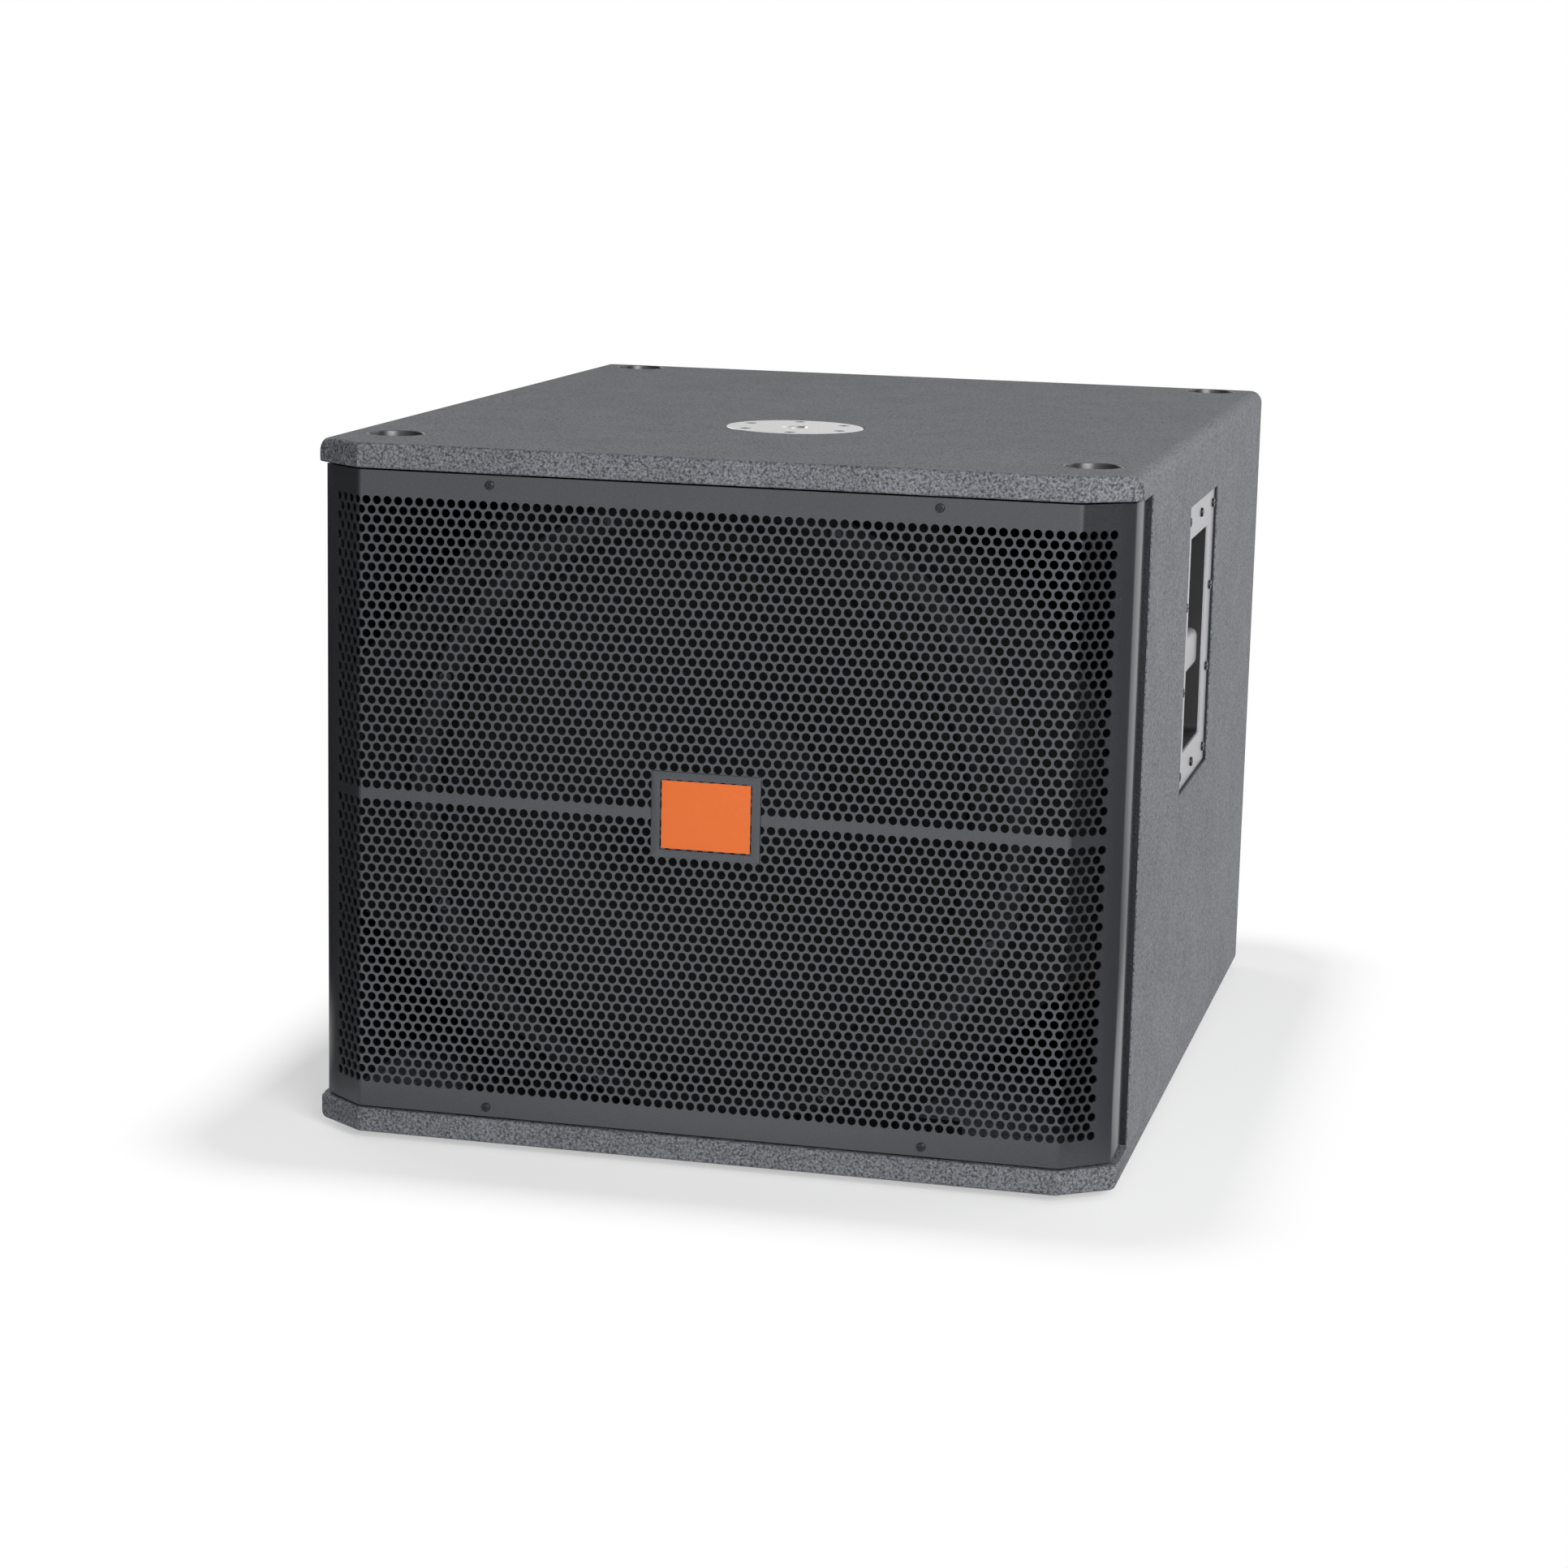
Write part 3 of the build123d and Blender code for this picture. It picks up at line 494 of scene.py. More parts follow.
def fleeceFinish(place):
    # pale fibres in loose clumps
    fibres = place.stretched((1, 1, 0.35)).noise(420, 6, 0.7)
    clumps = place.noise(35, 4)
    return {
        "Base Color": (fibres * 0.6 + clumps * 0.4).blend((0.30, 0.29, 0.27), (0.55, 0.54, 0.50)),
        "Roughness": 0.9 + fibres * 0.1,
        "Normal": place.bump(fibres, 0.8 * mm, 0.8),
    }


finish("textured_coating", coatingFinish, Specular_IOR_Level=0.5, Specular_Tint=coldSheen)
paint("black_plywood", 0.003, 0.008, 60, 0.2, rough=0.8, stretch=(1, 9, 9), Specular_IOR_Level=0.2)
finish("bare_plywood", plyFinish)
paint(
    "grille_paint", (0.021, 0.0216, 0.0238), (0.031, 0.0318, 0.035), 900, 0.03, rough=0.18, swing=0.08,
    Specular_IOR_Level=1.0, Specular_Tint=coldSheen,
)
paint("badge_orange", (0.595, 0.111, 0.010), (0.635, 0.125, 0.016), 300, 0.02, rough=0.26, swing=0.1)
paint(
    "black_screw", (0.030, 0.030, 0.033), (0.055, 0.055, 0.058), 1500, 0.04, rough=0.18, swing=0.12,
    Metallic=0.8,
)
paint(
    "plain_steel", (0.50, 0.50, 0.49), (0.66, 0.66, 0.64), 1200, 0.03, rough=0.22, swing=0.16,
    Metallic=1.0,
)
paint(
    "zinc_plate", (0.80, 0.80, 0.79), (0.92, 0.92, 0.91), 240, 0.02, rough=0.22, swing=0.14,
    Metallic=0.85,
)
paint(
    "cup_plastic", (0.016, 0.016, 0.018), (0.032, 0.032, 0.035), 1100, 0.05, rough=0.28, swing=0.15,
    Specular_IOR_Level=1.0,
)
paint("foot_rubber", 0.010, 0.022, 700, 0.12, rough=0.72)
paint(
    "handle_steel", (0.33, 0.33, 0.35), (0.44, 0.44, 0.46), 260, 0.03, rough=0.34, swing=0.16,
    Metallic=0.35,
)
paint("handle_cup_paint", (0.005, 0.005, 0.006), (0.012, 0.012, 0.013), 500, 0.08, rough=0.5)
paint("plate_paint", (0.022, 0.022, 0.024), (0.038, 0.038, 0.040), 800, 0.06, rough=0.4)
paint("socket_plastic", (0.012, 0.012, 0.014), (0.026, 0.026, 0.029), 900, 0.05, rough=0.35)
paint("cable_jacket", 0.010, 0.022, 400, 0.05, rough=0.45)
paint("clip_plastic", (0.50, 0.49, 0.45), (0.60, 0.59, 0.55), 500, 0.04, rough=0.4)
finish("wadding", fleeceFinish)
paint(
    "frame_paint", (0.004, 0.004, 0.0045), (0.009, 0.009, 0.010), 700, 0.08, rough=0.6,
    Specular_IOR_Level=0.3,
)
paint("gasket_foam", 0.006, 0.016, 900, 0.3, rough=0.85, swing=0.1)
paint("motor_steel", (0.020, 0.020, 0.021), (0.036, 0.036, 0.038), 500, 0.05, rough=0.35, Metallic=0.5)
paint("ferrite", (0.070, 0.070, 0.075), (0.105, 0.105, 0.110), 350, 0.1, rough=0.5)
paint("cone_paper", 0.005, 0.014, 260, 0.25, rough=0.8, detail=6, Specular_IOR_Level=0.2)
clothWeave = wovenFinish((0.004, 0.004, 0.004), (0.012, 0.012, 0.012), 1.1 * mm)
finish("surround_cloth", clothWeave, Specular_IOR_Level=0.2)
finish("spider_cloth", wovenFinish((0.30, 0.17, 0.07), (0.52, 0.34, 0.17), 0.9 * mm))
paint("former_film", (0.46, 0.30, 0.11), (0.60, 0.41, 0.18), 600, 0.03, rough=0.25, swing=0.15)
finish("coil_wire", windingFinish, Metallic=1.0)
for row in frame["record"]["subparts"]:
    cadNode = nodes[row["node"]]
    cadNode.data.materials.clear()
    cadNode.data.materials.append(finishes[row["material_slot"]])
print("finishes", len(finishes))


# grille: one folded perforated sheet, in an upper and a lower half that meet in the plain middle band
grilleSheet = {
    "thickness": 1.5 * mm,
    "holeRadius": 3.2 * mm,
    "holeSides": 12,
    "pitch": 7.94 * mm,
    "rowStep": 6.876 * mm,
    "rows": 31,
    "holesEachSide": 36,
    "foldSetback": 1.4 * mm,
    "frontFold": 260 * mm,
    "wingBack": grilleLow.y + 26.5 * mm,
}


def holeRow(name, halfAlong):
    # one row of holes, from bricks that match the row above and below, half a brick along
    pitch, step = grilleSheet["pitch"], grilleSheet["rowStep"]
    sides, radius = grilleSheet["holeSides"], grilleSheet["holeRadius"]
    count = 2 * grilleSheet["holesEachSide"] + (0 if halfAlong else 1)
    deselect()
    bpy.ops.mesh.primitive_grid_add(x_subdivisions=4, y_subdivisions=2, size=1, location=(0, 0, 0))
    brick = newPiece(name)
    brick.scale = (pitch, step, 1)
    applyPlace(brick)
    # the brick's inner points go, and a round hole takes their place
    pick(brick, lambda co: abs(co.x) < 0.3 * pitch and abs(co.y) < 0.1 * step)
    bpy.ops.mesh.delete(type="VERT")
    bpy.ops.mesh.primitive_circle_add(vertices=sides, radius=radius, location=(0, 0, 0))
    bpy.ops.mesh.select_all(action="SELECT")
    bpy.ops.mesh.bridge_edge_loops()
    endEdit()
    addModifier(brick, "ARRAY", count=count, use_merge_vertices=True, merge_threshold=tiny)
    moved(brick, x=-(count - 1) / 2 * pitch)
    if halfAlong:
        for side in (-1, 1):
            outer = side * count / 2 * pitch
            pick(brick, lambda co: abs(co.x - outer) < close)
            for _ in range(2):
                move = {"value": (side * pitch / 4, 0, 0)}
                bpy.ops.mesh.extrude_region_move(TRANSFORM_OT_translate=move)
            endEdit()
    return brick


def perforatedField(name):
    # the rows above the middle band, by turns on and half along
    step = grilleSheet["rowStep"]
    on, halfAlong = holeRow("rowOn", False), holeRow("rowHalfAlong", True)
    rows = []
    for k in range(1, grilleSheet["rows"] + 1):
        rows.append(copied(on if k % 2 else halfAlong, Matrix.Translation((0, k * step, 0))))
    for pattern in (on, halfAlong):
        bpy.data.objects.remove(pattern)
    field = joined(name, rows)
    startEdit(field)
    bpy.ops.mesh.select_all(action="SELECT")
    bpy.ops.mesh.remove_doubles(threshold=2 * tiny)
    endEdit()
    return field


def stretchEdge(piece, letter, place, move):
    # draws out the sheet's straight edge that lies at this place on this axis
    i = "XYZ".index(letter)
    pick(piece, lambda mid, line: abs(mid[i] - place) < close and abs(line[i]) < tiny, "EDGE")
    bpy.ops.mesh.extrude_region_move(TRANSFORM_OT_translate={"value": move})
    endEdit()


def foldedGrille(name, upward):
    sheet = grilleSheet
    frontX, wingX = sheet["frontFold"], grilleHigh.x
    firstTurn = atan2(sheet["wingBack"] - grilleLow.y, wingX - frontX)
    secondTurn = pi / 2 - firstTurn
    wing = hypot(wingX - frontX, sheet["wingBack"] - grilleLow.y)
    flange = grilleHigh.y - sheet["wingBack"]
    setback = sheet["foldSetback"]
    gap = [2 * setback * cos(turn / 2) for turn in (firstTurn, secondTurn)]
    folds = [(frontX - setback, firstTurn / 2)]
    folds.append((folds[-1][0] + gap[0], firstTurn / 2))
    folds.append((folds[-1][0] + wing - 2 * setback, secondTurn / 2))
    folds.append((folds[-1][0] + gap[1], secondTurn / 2))
    halfSpan = folds[-1][0] + flange - setback
    piece = perforatedField(name)
    step = sheet["rowStep"]
    fieldEnd = (sheet["holesEachSide"] + 0.5) * sheet["pitch"]
    fieldLow, fieldHigh = step / 2, (sheet["rows"] + 0.5) * step
    for side in (-1, 1):
        stretchEdge(piece, "X", side * fieldEnd, (side * (halfSpan - fieldEnd), 0, 0))
    stretchEdge(piece, "Y", fieldHigh, (0, grilleHigh.z - middleZ - fieldHigh, 0))
    stretchEdge(piece, "Y", fieldLow, (0, -fieldLow, 0))
    for side in (-1, 1):
        for place, _ in folds:
            startEdit(piece)
            bpy.ops.mesh.select_all(action="SELECT")
            bpy.ops.mesh.bisect(plane_co=(side * place, 0, 0), plane_no=(1, 0, 0))
            endEdit()
    # stands the flat sheet up, then turns each fold, from the outermost in
    piece.data.transform(Matrix.Rotation(pi / 2, 4, "X"))
    if not upward:
        piece.data.transform(Matrix.Scale(-1, 4, (0, 0, 1)))
    moved(piece, y=grilleLow.y, z=middleZ)
    for side in (-1, 1):
        for place, turn in reversed(folds):
            pick(piece, lambda co: side * co.x > place + tiny)
            middle = (side * place, grilleLow.y, 0)
            bpy.ops.transform.rotate(value=-side * turn, orient_axis="Z", center_override=middle)
            endEdit()
    mergeDoubles(piece)
    return piece


def makeGrille():
    for name, upward in (("grille_upper", True), ("grille_lower", False)):
        half = foldedGrille(name, upward)
        thickness = grilleSheet["thickness"]
        addModifier(half, "SOLIDIFY", thickness=thickness, offset=-1, use_even_offset=True)
        smooth(half, angle=32)
        done(half, "cabinet", "grille_paint", "grille")
        print(name, "faces", len(half.data.polygons))


makeGrille()
print("grille done")


# badge: a bare orange plate, slightly pillowed, in a painted frame
badge = {
    "frameEdge": 0.35 * mm,
    "frameCorner": 1.0 * mm,
    "plateCorner": 0.8 * mm,
    "plateGap": 0.9 * mm,
    "pillowInsets": (1 * mm, 3 * mm, 6 * mm),
    "pillowRise": 0.09 * mm,
}


def makeBadge():
    low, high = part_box("badge_frame")
    plateLow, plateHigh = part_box("badge_plate")
    gap = Vector((badge["plateGap"], 0, badge["plateGap"]))
    rim = slab("badge_rim", low, high)
    roundEdges(rim, along("Y"), badge["frameCorner"], segments=4)
    cutWindow(rim, "Y", plateLow - gap, plateHigh + gap)
    roundEdges(rim, rimOf("Y", low.y), badge["frameEdge"])
    smooth(rim)
    pillow = badge["pillowRise"] * len(badge["pillowInsets"])
    plate = slab("badge_face", plateLow + Vector((0, pillow, 0)), plateHigh)
    pick(plate, lambda mid, normal: normal.y < -straight, "FACE")
    for inset in badge["pillowInsets"]:
        bpy.ops.mesh.inset(thickness=inset)
        bpy.ops.transform.translate(value=(0, -badge["pillowRise"], 0))
    endEdit()
    depth = plateHigh.y - plateLow.y - pillow

    def isOuterCorner(mid, line):
        return abs(abs(line.y) - depth) < tiny and hypot(line.x, line.z) < tiny
    roundEdges(plate, isOuterCorner, badge["plateCorner"], segments=4)
    smooth(plate, angle=50)
    done(rim, "cabinet", "grille_paint", "badge_frame")
    done(plate, "cabinet", "badge_orange", "badge_plate")


makeBadge()


# handles: a pressed plate, a deep cup with soft corners and a rounded grip with ribs under it
handle = {
    "cupWall": 2.5 * mm,
    "plateEdge": 0.5 * mm,
    "plateCorner": 1.2 * mm,
    "cupCorner": 9 * mm,
    "gripEdge": 6 * mm,
    "ribs": 26,
    "ribSize": (1.2 * mm, 2.2 * mm, 1.6 * mm),
    "ribEdge": 0.3 * mm,
    "ribSink": 0.4 * mm,
    "ribMargin": 3 * mm,
}


def makeGrip(name, side):
    low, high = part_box(f"{name}_handle_grip")
    edge, rib, margin = handle["gripEdge"], Vector(handle["ribSize"]), handle["ribMargin"]
    bar = slab("gripBar", low, high)
    roundEdges(bar, along("Y"), edge, segments=6)
    pitch = (high.y - low.y - 2 * margin) / handle["ribs"]
    inner = high.x - edge if side > 0 else low.x + edge
    pieces = [bar]
    for i in range(handle["ribs"]):
        y = low.y + margin + (i + 0.5) * pitch
        middle = Vector((inner, y, low.z - rib.z / 2 + handle["ribSink"]))
        tooth = slab("rib", middle - rib / 2, middle + rib / 2)
        roundEdges(tooth, lambda mid, line: True, handle["ribEdge"], segments=1)
        pieces.append(tooth)
    grip = joined(f"{name}_pull_grip", pieces)
    smooth(grip)
    done(grip, "cabinet", "handle_steel", f"{name}_handle_grip")


def makeHandle(name, side):
    low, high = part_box(f"{name}_handle_plate")
    cupLow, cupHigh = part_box(f"{name}_handle_cup")
    face, mouth = (high.x, cupHigh.x) if side > 0 else (low.x, cupLow.x)
    wall = Vector((0, handle["cupWall"], handle["cupWall"]))
    plate = slab(f"{name}_pull_plate", low, high)
    roundEdges(plate, along("X"), handle["plateCorner"], segments=4)
    cutWindow(plate, "X", cupLow + wall, cupHigh - wall)
    roundEdges(plate, rimOf("X", face), handle["plateEdge"])
    smooth(plate)
    done(plate, "cabinet", "handle_steel", f"{name}_handle_plate")
    bowl = slab(f"{name}_pull_cup", cupLow, cupHigh)
    roundEdges(bowl, lambda mid, line: abs(mid.x - mouth) > tiny, handle["cupCorner"], segments=5)
    pick(bowl, lambda mid, normal: abs(mid.x - mouth) < tiny, "FACE")
    bpy.ops.mesh.delete(type="FACE")
    endEdit()
    addModifier(bowl, "SOLIDIFY", thickness=handle["cupWall"], offset=-1, use_even_offset=True)
    smooth(bowl)
    done(bowl, "cabinet", "handle_cup_paint", f"{name}_handle_cup")
    makeGrip(name, side)


for sideName, sideSign in (("left", -1), ("right", 1)):
    makeHandle(sideName, sideSign)
print("badge and handles done")


# stacking cups and rubber feet, four of each, one shape copied to four corners; sizes in mm
cup = {
    "rim": 22,
    "bore": 20,
    "depth": 7,
    "base": 9,
    "lip": 0.7,
    "floorRound": 1.5,
    "ringsAt": (15, 10),
    "ring": {"rise": 0.5, "slope": 0.4, "crown": 0.6},
    "screwTop": 4.45,
    "screwHole": 2.45,
}
foot = {
    "radius": 19,
    "height": 6,
    "edge": 1.8,
    "topEdge": 0.3,
    "groovesAt": (14.5, 10.5),
    "groove": {"rise": 0.7, "slope": 0.5, "crown": 0.6},
    "bore": 5.5,
    "boreDepth": 3.5,
    "hole": 2.25,
}
roundSteps = 56


def millimetres(points):
    return [(r * mm, h * mm) for r, h in points]


def ringOutline(radius, base, rise, slope, crown):
    # a ring on a level floor, from its outer foot inward
    inner = radius - 2 * slope - crown
    return [(radius, base), (radius - slope, base + rise), (inner + slope, base + rise), (inner, base)]


def cornerPlaces(node, radius, z):
    # the four corners' middles, from the box that holds all four
    low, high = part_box(node)
    edge = radius * mm
    ends = [(x, y) for x in (low.x + edge, high.x - edge) for y in (low.y + edge, high.y - edge)]
    return [Matrix.Translation((x, y, z)) for x, y in ends]


def makeCups():
    lip, turn = cup["lip"], cup["floorRound"]
    rim, bore, depth, base = (cup[k] for k in ("rim", "bore", "depth", "base"))
    outline = [(cup["screwHole"], -base), (rim, -base)]
    outline += arc((rim - lip, -lip), lip, 0, 90, 4) + arc((bore + lip, -lip), lip, 90, 180, 4)
    outline += arc((bore - turn, -depth + turn), turn, 0, -90, 4)
    for radius in cup["ringsAt"]:
        outline += ringOutline(radius, -depth, **cup["ring"])
    outline += [(cup["screwTop"], -depth), (cup["screwHole"], -base)]
    shape = turned("cup", millimetres(outline), roundSteps)
    smooth(shape, angle=30)
    cups = repeated("corner_cups", shape, cornerPlaces("stacking_cups", rim, topZ))
    done(cups, "cabinet", "cup_plastic", "stacking_cups")


def makeFeet():
    radius, height, edge, topEdge = (foot[k] for k in ("radius", "height", "edge", "topEdge"))
    outline = [(foot["hole"], height), (radius - topEdge, height), (radius, height - topEdge)]
    outline += arc((radius - edge, edge), edge, 0, -90, 5)
    for grooveRadius in foot["groovesAt"]:
        outline += ringOutline(grooveRadius, 0, **foot["groove"])
    outline += [(foot["bore"], 0), (foot["bore"], foot["boreDepth"]), (foot["hole"], foot["boreDepth"])]
    outline += [(foot["hole"], height)]
    shape = turned("foot", millimetres(outline), roundSteps)
    smooth(shape, angle=30)
    feet = repeated("corner_feet", shape, cornerPlaces("rubber_feet", radius, 0))
    done(feet, "cabinet", "foot_rubber", "rubber_feet")


makeCups()
makeFeet()
print("cups and feet done")


# twist-lock sockets: a post with four contact strips stands in each keyed hollow; sizes in mm
socketCore = {
    "post": 5.2,
    "postLength": 15.5,
    "postEdge": 0.8,
    "depth": 18,
    "collar": 1.6,
    "collarHeight": 1.4,
    "collarSlope": 0.8,
    "dimple": 3.1,
    "dimpleFloor": 2.7,
    "dimpleDepth": 1.2,
    "strips": 4,
    "stripWidth": 2.4,
    "stripFrom": 3,
    "stripReach": 7.2,
    "stripShort": 5,
    "stripEdge": 0.25,
}


def makeSocketPost():
    base, edge, post = -socketCore["depth"], socketCore["postEdge"], socketCore["post"]
    top = base + socketCore["postLength"]
    collar, collarTop = post + socketCore["collar"], base + socketCore["collarHeight"]
    dimpleBase = top - socketCore["dimpleDepth"]
    outline = [(0, base), (collar, base), (collar, collarTop), (post, collarTop + socketCore["collarSlope"])]
    outline += arc((post - edge, top - edge), edge, 0, 90, 3)
    outline += [(socketCore["dimple"], top), (socketCore["dimpleFloor"], dimpleBase), (0, dimpleBase)]
    return turned("post", millimetres(outline), 40)


def makeSocketStrips():
    strips = []
    half = socketCore["stripWidth"] / 2
    base = -socketCore["depth"]
    top = base + socketCore["postLength"] - socketCore["stripShort"]
    low = Vector((socketCore["stripFrom"], -half, base)) * mm
    high = Vector((socketCore["stripReach"], half, top)) * mm
    for k in range(socketCore["strips"]):
        strip = slab("strip", low, high)
        roundEdges(strip, lambda mid, line: True, socketCore["stripEdge"] * mm, segments=2)
        strip.data.transform(Matrix.Rotation((k + 0.5) * 2 * pi / socketCore["strips"], 4, "Z"))
        strips.append(strip)
    return joined("strips", strips)


def makeSocketCores():
    for node in ("input_socket", "link_socket"):
        low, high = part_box(node)
        outward = Vector((0, 1, 0)).to_track_quat("Z", "Y").to_matrix().to_4x4()
        place = Matrix.Translation(((low.x + high.x) / 2, high.y, (low.z + high.z) / 2)) @ outward
        post, contacts = makeSocketPost(), makeSocketStrips()
        smooth(post, angle=30)
        for piece, name in ((post, f"{node}_post"), (contacts, f"{node}_contacts")):
            piece.data.transform(place)
            piece.name = piece.data.name = name
        done(post, "cabinet", "socket_plastic")
        done(contacts, "cabinet", "plain_steel")


makeSocketCores()


# pole plate's thread: a ridge wound down the hole; sizes in mm
thread = {
    "radius": 8.75,
    "sink": 0.25,
    "pitch": 2.5,
    "rise": 0.55,
    "halfShare": 0.42,
    "crownHalfShare": 0.2,
    "start": 2.0,
    "length": 28,
    "stepsPerTurn": 36,
}


def makePoleThread():
    low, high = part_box("pole_plate")
    half = thread["pitch"] * thread["halfShare"]
    crown = half * thread["crownHalfShare"]
    root, crest = thread["radius"] + thread["sink"], thread["radius"] - thread["rise"]
    section = [(root, 0), (crest, half - crown), (crest, half + crown), (root, half * 2), (root, 0)]
    ridge = drawn("pole_thread", millimetres(section))
    bpy.ops.mesh.select_all(action="SELECT")
    bpy.ops.mesh.remove_doubles(threshold=tiny)
    bpy.ops.mesh.edge_face_add()
    endEdit()
    turns, steps = (thread["length"] - thread["start"]) / thread["pitch"], thread["stepsPerTurn"]
    addModifier(
        ridge, "SCREW", angle=2 * pi, screw_offset=-thread["pitch"] * mm, iterations=int(turns),
        steps=steps, render_steps=steps, axis="Z",
    )
    mergeDoubles(ridge)
    top = high.z - (thread["start"] + 2 * half) * mm
    moved(ridge, (low.x + high.x) / 2, (low.y + high.y) / 2, top)
    smooth(ridge, angle=40)
    done(ridge, "cabinet", "zinc_plate")


makePoleThread()
print("sockets and thread done")


# the driver's soft parts: rolled surround, ribbed cone, dust cap and corrugated spider
surround = {
    "thickness": 1.2 * mm,
    "outer": 204 * mm,
    "inner": 184 * mm,
    "outerLand": 1 * mm,
    "innerLand": 8 * mm,
    "glueLine": 0.3 * mm,
    "rollRise": 10.2 * mm,
    "rollPoints": 16,
}
cone = {
    "rim": 184 * mm,
    "land": 176 * mm,
    "neck": 51.3 * mm,
    "neckDepth": 2.35 * mm,
    "thickness": 1.9 * mm,
    "points": 64,
    "ribs": 7,
    "ribHeight": 0.7 * mm,
    "ribsFrom": 0.04,
    "ribsTo": 0.86,
}
dustCap = {"thickness": 1.4 * mm, "shell": 1.26 * mm, "points": 16}
spider = {
    "thickness": 1.0 * mm,
    "outer": 96 * mm,
    "outerLand": 1 * mm,
    "inner": 60 * mm,
    "neckGap": 0.35 * mm,
    "seatGap": 0.05 * mm,
    "points": 60,
    "waves": 5,
    "waveHeight": 1.6 * mm,
}


def between(a, b, share):
    return a + (b - a) * share


def sheetAboutAxis(name, outline, thickness, steps):
    piece = turned(name, outline, steps, aroundDriver=True)
    faceFront(piece)
    addModifier(piece, "SOLIDIFY", thickness=thickness, offset=-1, use_even_offset=True)
    smooth(piece, angle=40)
    return piece


def flexing(piece, slot, node, fixedY, movingY):
    # a ring between the cabinet and the moving cone: its finish with no body, its CAD node hidden and its
    # place baked into the mesh
    done(piece, None, slot, node)
    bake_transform(piece)


def makeSurround():
    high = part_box("surround")[1]
    outer, inner, thickness = surround["outer"], surround["inner"], surround["thickness"]
    outerY = high.y - thickness
    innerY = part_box("cone")[0].y - surround["glueLine"] - thickness
    middle, half = (outer + inner) / 2, (outer - inner) / 2
    outline = [(high.x, outerY), (outer + surround["outerLand"], outerY)]
    for i in range(surround["rollPoints"] + 1):
        turn = pi * i / surround["rollPoints"]
        base = between(outerY, innerY, (1 - cos(turn)) / 2)
        outline.append((middle + half * cos(turn), base - surround["rollRise"] * sin(turn)))
    outline += [(inner - surround["outerLand"], innerY), (inner - surround["innerLand"], innerY)]
    piece = sheetAboutAxis("rolled_surround", outline, thickness, 160)
    flexing(piece, "surround_cloth", "surround", outerY - 0.3 * mm, innerY + 1.3 * mm)


def makeCone():
    low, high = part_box("cone")
    rim, land, neck = cone["rim"], cone["land"], cone["neck"]
    neckY = high.y - cone["neckDepth"]
    outline = [(rim, low.y), (land, low.y)]
    for i in range(1, cone["points"] + 1):
        share = i / cone["points"]
        rib = 0
        if cone["ribsFrom"] < share < cone["ribsTo"]:
            rib = cone["ribHeight"] * max(0, sin(share * 2 * pi * cone["ribs"]))
        outline.append((between(land, neck, share), between(low.y, neckY, share) + rib))
    piece = sheetAboutAxis("ribbed_cone", outline, cone["thickness"], 128)
    done(piece, "cone_assembly", "cone_paper", "cone")


def makeDustCap():
    low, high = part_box("dust_cap")
    radius, count = high.x, dustCap["points"]
    rise = high.y - low.y - dustCap["thickness"]
    sphere = (radius ** 2 + rise ** 2) / (2 * rise)
    radii = [radius * i / count for i in range(count + 1)]
    outline = [(r, low.y + sphere - (sphere ** 2 - r ** 2) ** 0.5) for r in radii]
    cap = sheetAboutAxis("domed_dust_cap", outline, dustCap["shell"], 96)
    done(cap, "cone_assembly", "cone_paper", "dust_cap")


def makeSpider():
    low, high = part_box("spider")
    outer, inner, thickness = spider["outer"], spider["inner"], spider["thickness"]
    outerY, innerY = high.y - thickness - spider["seatGap"], low.y
    outline = [(high.x, outerY), (outer + spider["outerLand"], outerY)]
    for i in range(spider["points"] + 1):
        share = i / spider["points"]
        fade = min(1, 6 * share, 6 * (1 - share))  # the waves die out near both edges
        swing = spider["waveHeight"] * fade * sin(share * 2 * pi * spider["waves"])
        outline.append((between(outer, inner, share), between(outerY, innerY, share) + swing))
    outline.append((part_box("coil_former")[1].x + spider["neckGap"], innerY))
    piece = sheetAboutAxis("corrugated_spider", outline, thickness, 96)
    flexing(piece, "spider_cloth", "spider", outerY - 0.4 * mm, innerY + 1.2 * mm)


makeSurround()
makeCone()
makeDustCap()
makeSpider()
print("driver done")


# wadding: crowned pads, softer than the plain solids that they stand for
pad = {"edge": 9 * mm, "lump": 5 * mm, "lumpSize": 0.06, "cuts": 5, "fill": 0.5}


def makePad(name, node, windowed):
    low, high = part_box(node)
    piece = slab(name, low, high)
    if windowed:
        plateLow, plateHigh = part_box("input_plate")
        cutWindow(piece, "Y", plateLow, plateHigh)
    roundEdges(piece, lambda mid, line: True, pad["edge"], segments=4)
    startEdit(piece)
    bpy.ops.mesh.select_all(action="SELECT")
    bpy.ops.mesh.quads_convert_to_tris()
    bpy.ops.mesh.tris_convert_to_quads()
    bpy.ops.mesh.subdivide(number_cuts=pad["cuts"])
    endEdit()
    clouds = bpy.data.textures.new(name + "Lumps", "CLOUDS")
    clouds.noise_scale = pad["lumpSize"]
    addModifier(piece, "DISPLACE", texture=clouds, strength=-pad["lump"], mid_level=0.0)
    smooth(piece, angle=60)
    done(piece, "cabinet", "wadding", node)


makePad("back_wadding", "back_lining", True)
makePad("top_wadding", "top_lining", False)
print("wadding done")


# camera, lamps and floor
cameraView = {
    "azimuth": 13.5,
    "pitch": 11.19,
    "roll": 1.27,
    "lens": 83.45,
    "sensor": 36,
    "place": (0.6408, -2.8062, 0.783),
}


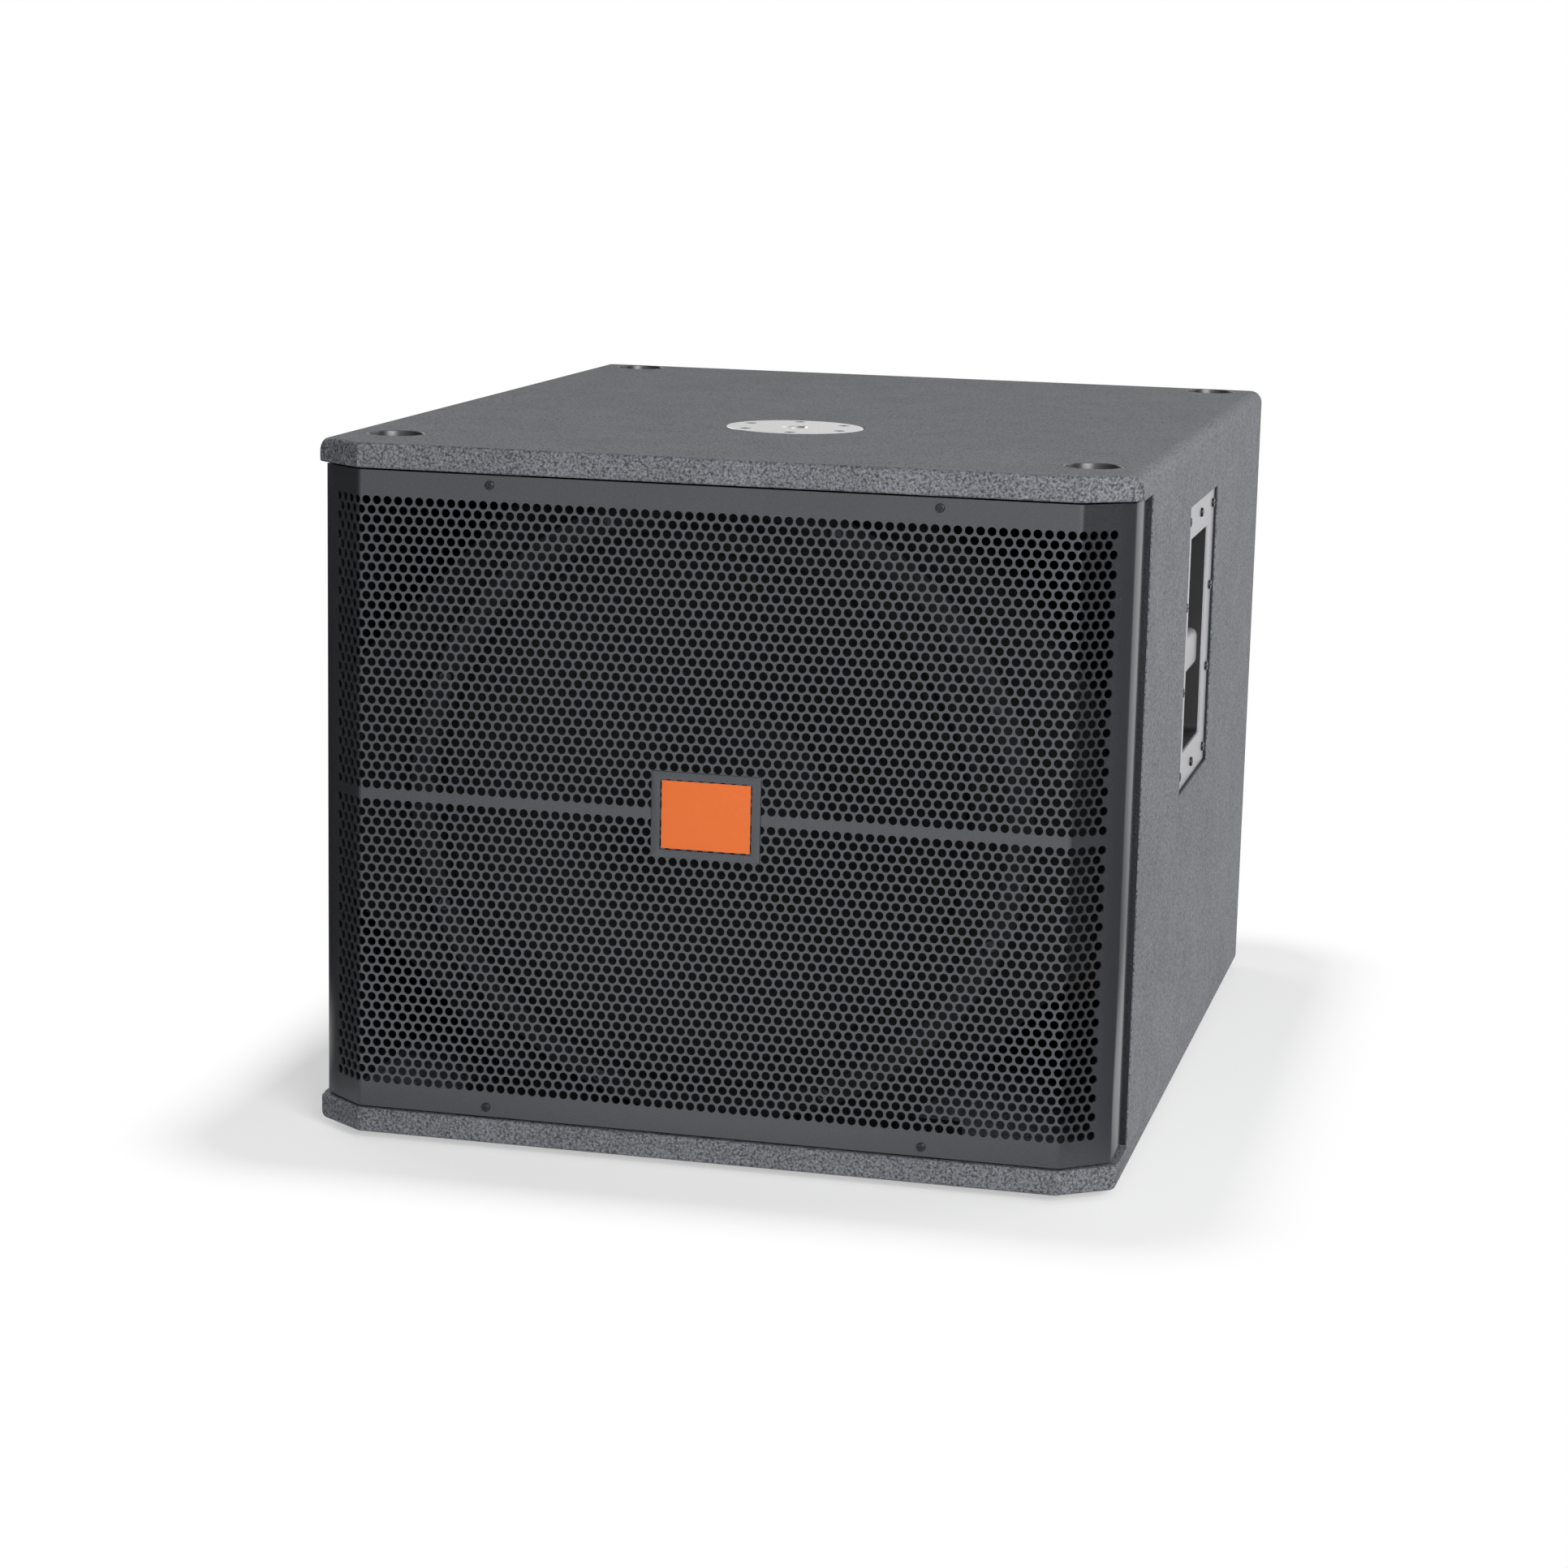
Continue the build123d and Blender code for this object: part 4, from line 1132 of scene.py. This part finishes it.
def makeCamera():
    azimuth, pitch, roll = (radians(cameraView[k]) for k in ("azimuth", "pitch", "roll"))
    back = Vector((sin(azimuth) * cos(pitch), -cos(azimuth) * cos(pitch), sin(pitch)))
    right = Vector((cos(azimuth), sin(azimuth), 0))
    up = back.cross(right)
    leaning = cos(roll) * right + sin(roll) * up
    upright = back.cross(leaning)
    data = bpy.data.cameras.new("camera")
    data.lens = cameraView["lens"]
    data.sensor_width = cameraView["sensor"]
    camera = bpy.data.objects.new("camera", data)
    bpy.context.scene.collection.objects.link(camera)
    turn = Matrix((leaning, upright, back)).transposed().to_4x4()
    camera.matrix_world = Matrix.Translation(cameraView["place"]) @ turn
    bpy.context.scene.camera = camera


lamps = [
    {"name": "overhead", "place": (0.3, -0.4, 3.2), "size": 3.0, "power": 4},
    {"name": "frontRight", "place": (2.0, -2.9, 1.5), "size": 2.0, "power": 124},
    {"name": "rightBack", "place": (3.2, 1.6, 1.6), "size": 2.4, "power": 38},
    {"name": "leftBack", "place": (-3.0, 2.2, 1.5), "size": 2.4, "power": 48},
]


def makeLamps():
    for lamp in lamps:
        data = bpy.data.lights.new(lamp["name"], "AREA")
        data.energy = lamp["power"]
        data.size = lamp["size"]
        light = bpy.data.objects.new(lamp["name"], data)
        bpy.context.scene.collection.objects.link(light)
        light.location = lamp["place"]
        aim = Vector((0, 0, middleZ)) - Vector(lamp["place"])
        light.rotation_euler = aim.to_track_quat("-Z", "Y").to_euler()


room = {
    "lit": 0.60,
    "litSides": 0.35,
    "ceilingShade": 0.55,
    "sideShade": 0.03,
    "brightTurn": 15,
    "shadowLift": 0.45,
    "floorSize": 60,
    "floorShade": 0.95,
    "shadowReach": 0.15,
    "laneFrom": 0.45,
    "laneTo": 0.70,
    "besideFrom": 0.05,
    "besideTo": 0.20,
}


def facingShare(direction):
    # 1 straight in front of the cabinet and behind its right half, falling fast to 0 at its sides
    vector = "ShaderNodeVectorMath"
    flat = direction.add(vector, {"operation": "MULTIPLY"}, {0: direction, 1: (1, 1, 0)})
    flat = flat.add(vector, {"operation": "NORMALIZE"}, {0: flat})
    x, y = flat.part("X"), flat.part("Y")
    turn = radians(room["brightTurn"])
    behind = (y * cos(turn) + x * sin(turn)).atLeast(0)
    return behind * behind * behind + (y < 0) * y * y * y * y


def raysOf(tree):
    rays = tree.nodes.new("ShaderNodeLightPath").outputs
    seen = Wire(tree, rays["Is Camera Ray"])
    glossy = Wire(tree, rays["Is Glossy Ray"])
    return seen, glossy.math("MAXIMUM", glossy, Wire(tree, rays["Is Transmission Ray"]))


def makeWorld():
    # the camera sees a white room, reflections see it greyer at the sides, and it lights dimly
    world = bpy.data.worlds.new("room")
    world.use_nodes = True
    bpy.context.scene.world = world
    tree = world.node_tree
    seen, glossy = raysOf(tree)
    direction = Wire(tree, tree.nodes.new("ShaderNodeTexCoord").outputs["Generated"])
    facing = facingShare(direction)
    mirrored = room["sideShade"] + facing * (1 - room["sideShade"])
    overhead = direction.part("Z").atLeast(0) * room["ceilingShade"]
    lit = (room["litSides"] + facing * (1 - room["litSides"])) * (1 - overhead) * room["lit"]
    strength = (lit * (1 - glossy) + mirrored * glossy) * (1 - seen) + seen
    background = tree.nodes["Background"]
    background.inputs["Color"].default_value = (1, 1, 1, 1)
    tree.links.new(strength.socket, background.inputs["Strength"])


def makeFloor():
    deselect()
    radius = room["floorSize"]
    bpy.ops.mesh.primitive_circle_add(vertices=96, radius=radius, fill_type="NGON", location=(0, 0, 0))
    floor = newPiece("floor")
    material = bpy.data.materials.new("floor")
    material.use_nodes = True
    tree = material.node_tree
    shader = tree.nodes["Principled BSDF"]
    shader.inputs["Base Color"].default_value = (room["floorShade"],) * 3 + (1,)
    shader.inputs["Roughness"].default_value = 1.0
    shader.inputs["Specular IOR Level"].default_value = 0.0
    place = Wire(tree, tree.nodes.new("ShaderNodeTexCoord").outputs["Object"])
    fromSide, fromFront = abs(place.part("X")), abs(place.part("Y"))
    # how far a spot lies outside the cabinet's footprint
    overX = (fromSide - halfWidth).atLeast(0)
    overY = (fromFront - backY).atLeast(0)
    squared = overX * overX + overY * overY
    fade = squared.math("SQRT", squared).rise(0, room["shadowReach"])
    # reflections see a white lane ahead of the cabinet and another from its sides back, and
    # white far ahead and behind, but grey beside the front corners
    beside = abs(place.part("Y") - frontY).rise(room["besideFrom"], room["besideTo"])
    lane = (1 - fromSide.rise(room["laneFrom"], room["laneTo"])) * beside
    facing = facingShare(place)
    facing = facing.math("MAXIMUM", facing, lane)
    mirrored = room["sideShade"] + facing * (1 - room["sideShade"])
    seen, glossy = raysOf(tree)
    glow = place.add("ShaderNodeEmission", None, {"Strength": seen + (1 - seen) * mirrored})
    share = fade.atLeast(room["shadowLift"]) * (seen + (1 - seen) * glossy)
    plain = Wire(tree, shader.outputs[0])
    mixed = place.add("ShaderNodeMixShader", None, {0: share, 1: plain, 2: glow})
    tree.links.new(mixed.socket, tree.nodes["Material Output"].inputs["Surface"])
    floor.data.materials.append(material)


makeCamera()
makeLamps()
makeWorld()
makeFloor()
bpy.context.scene.view_settings.view_transform = "Standard"
print("room done")
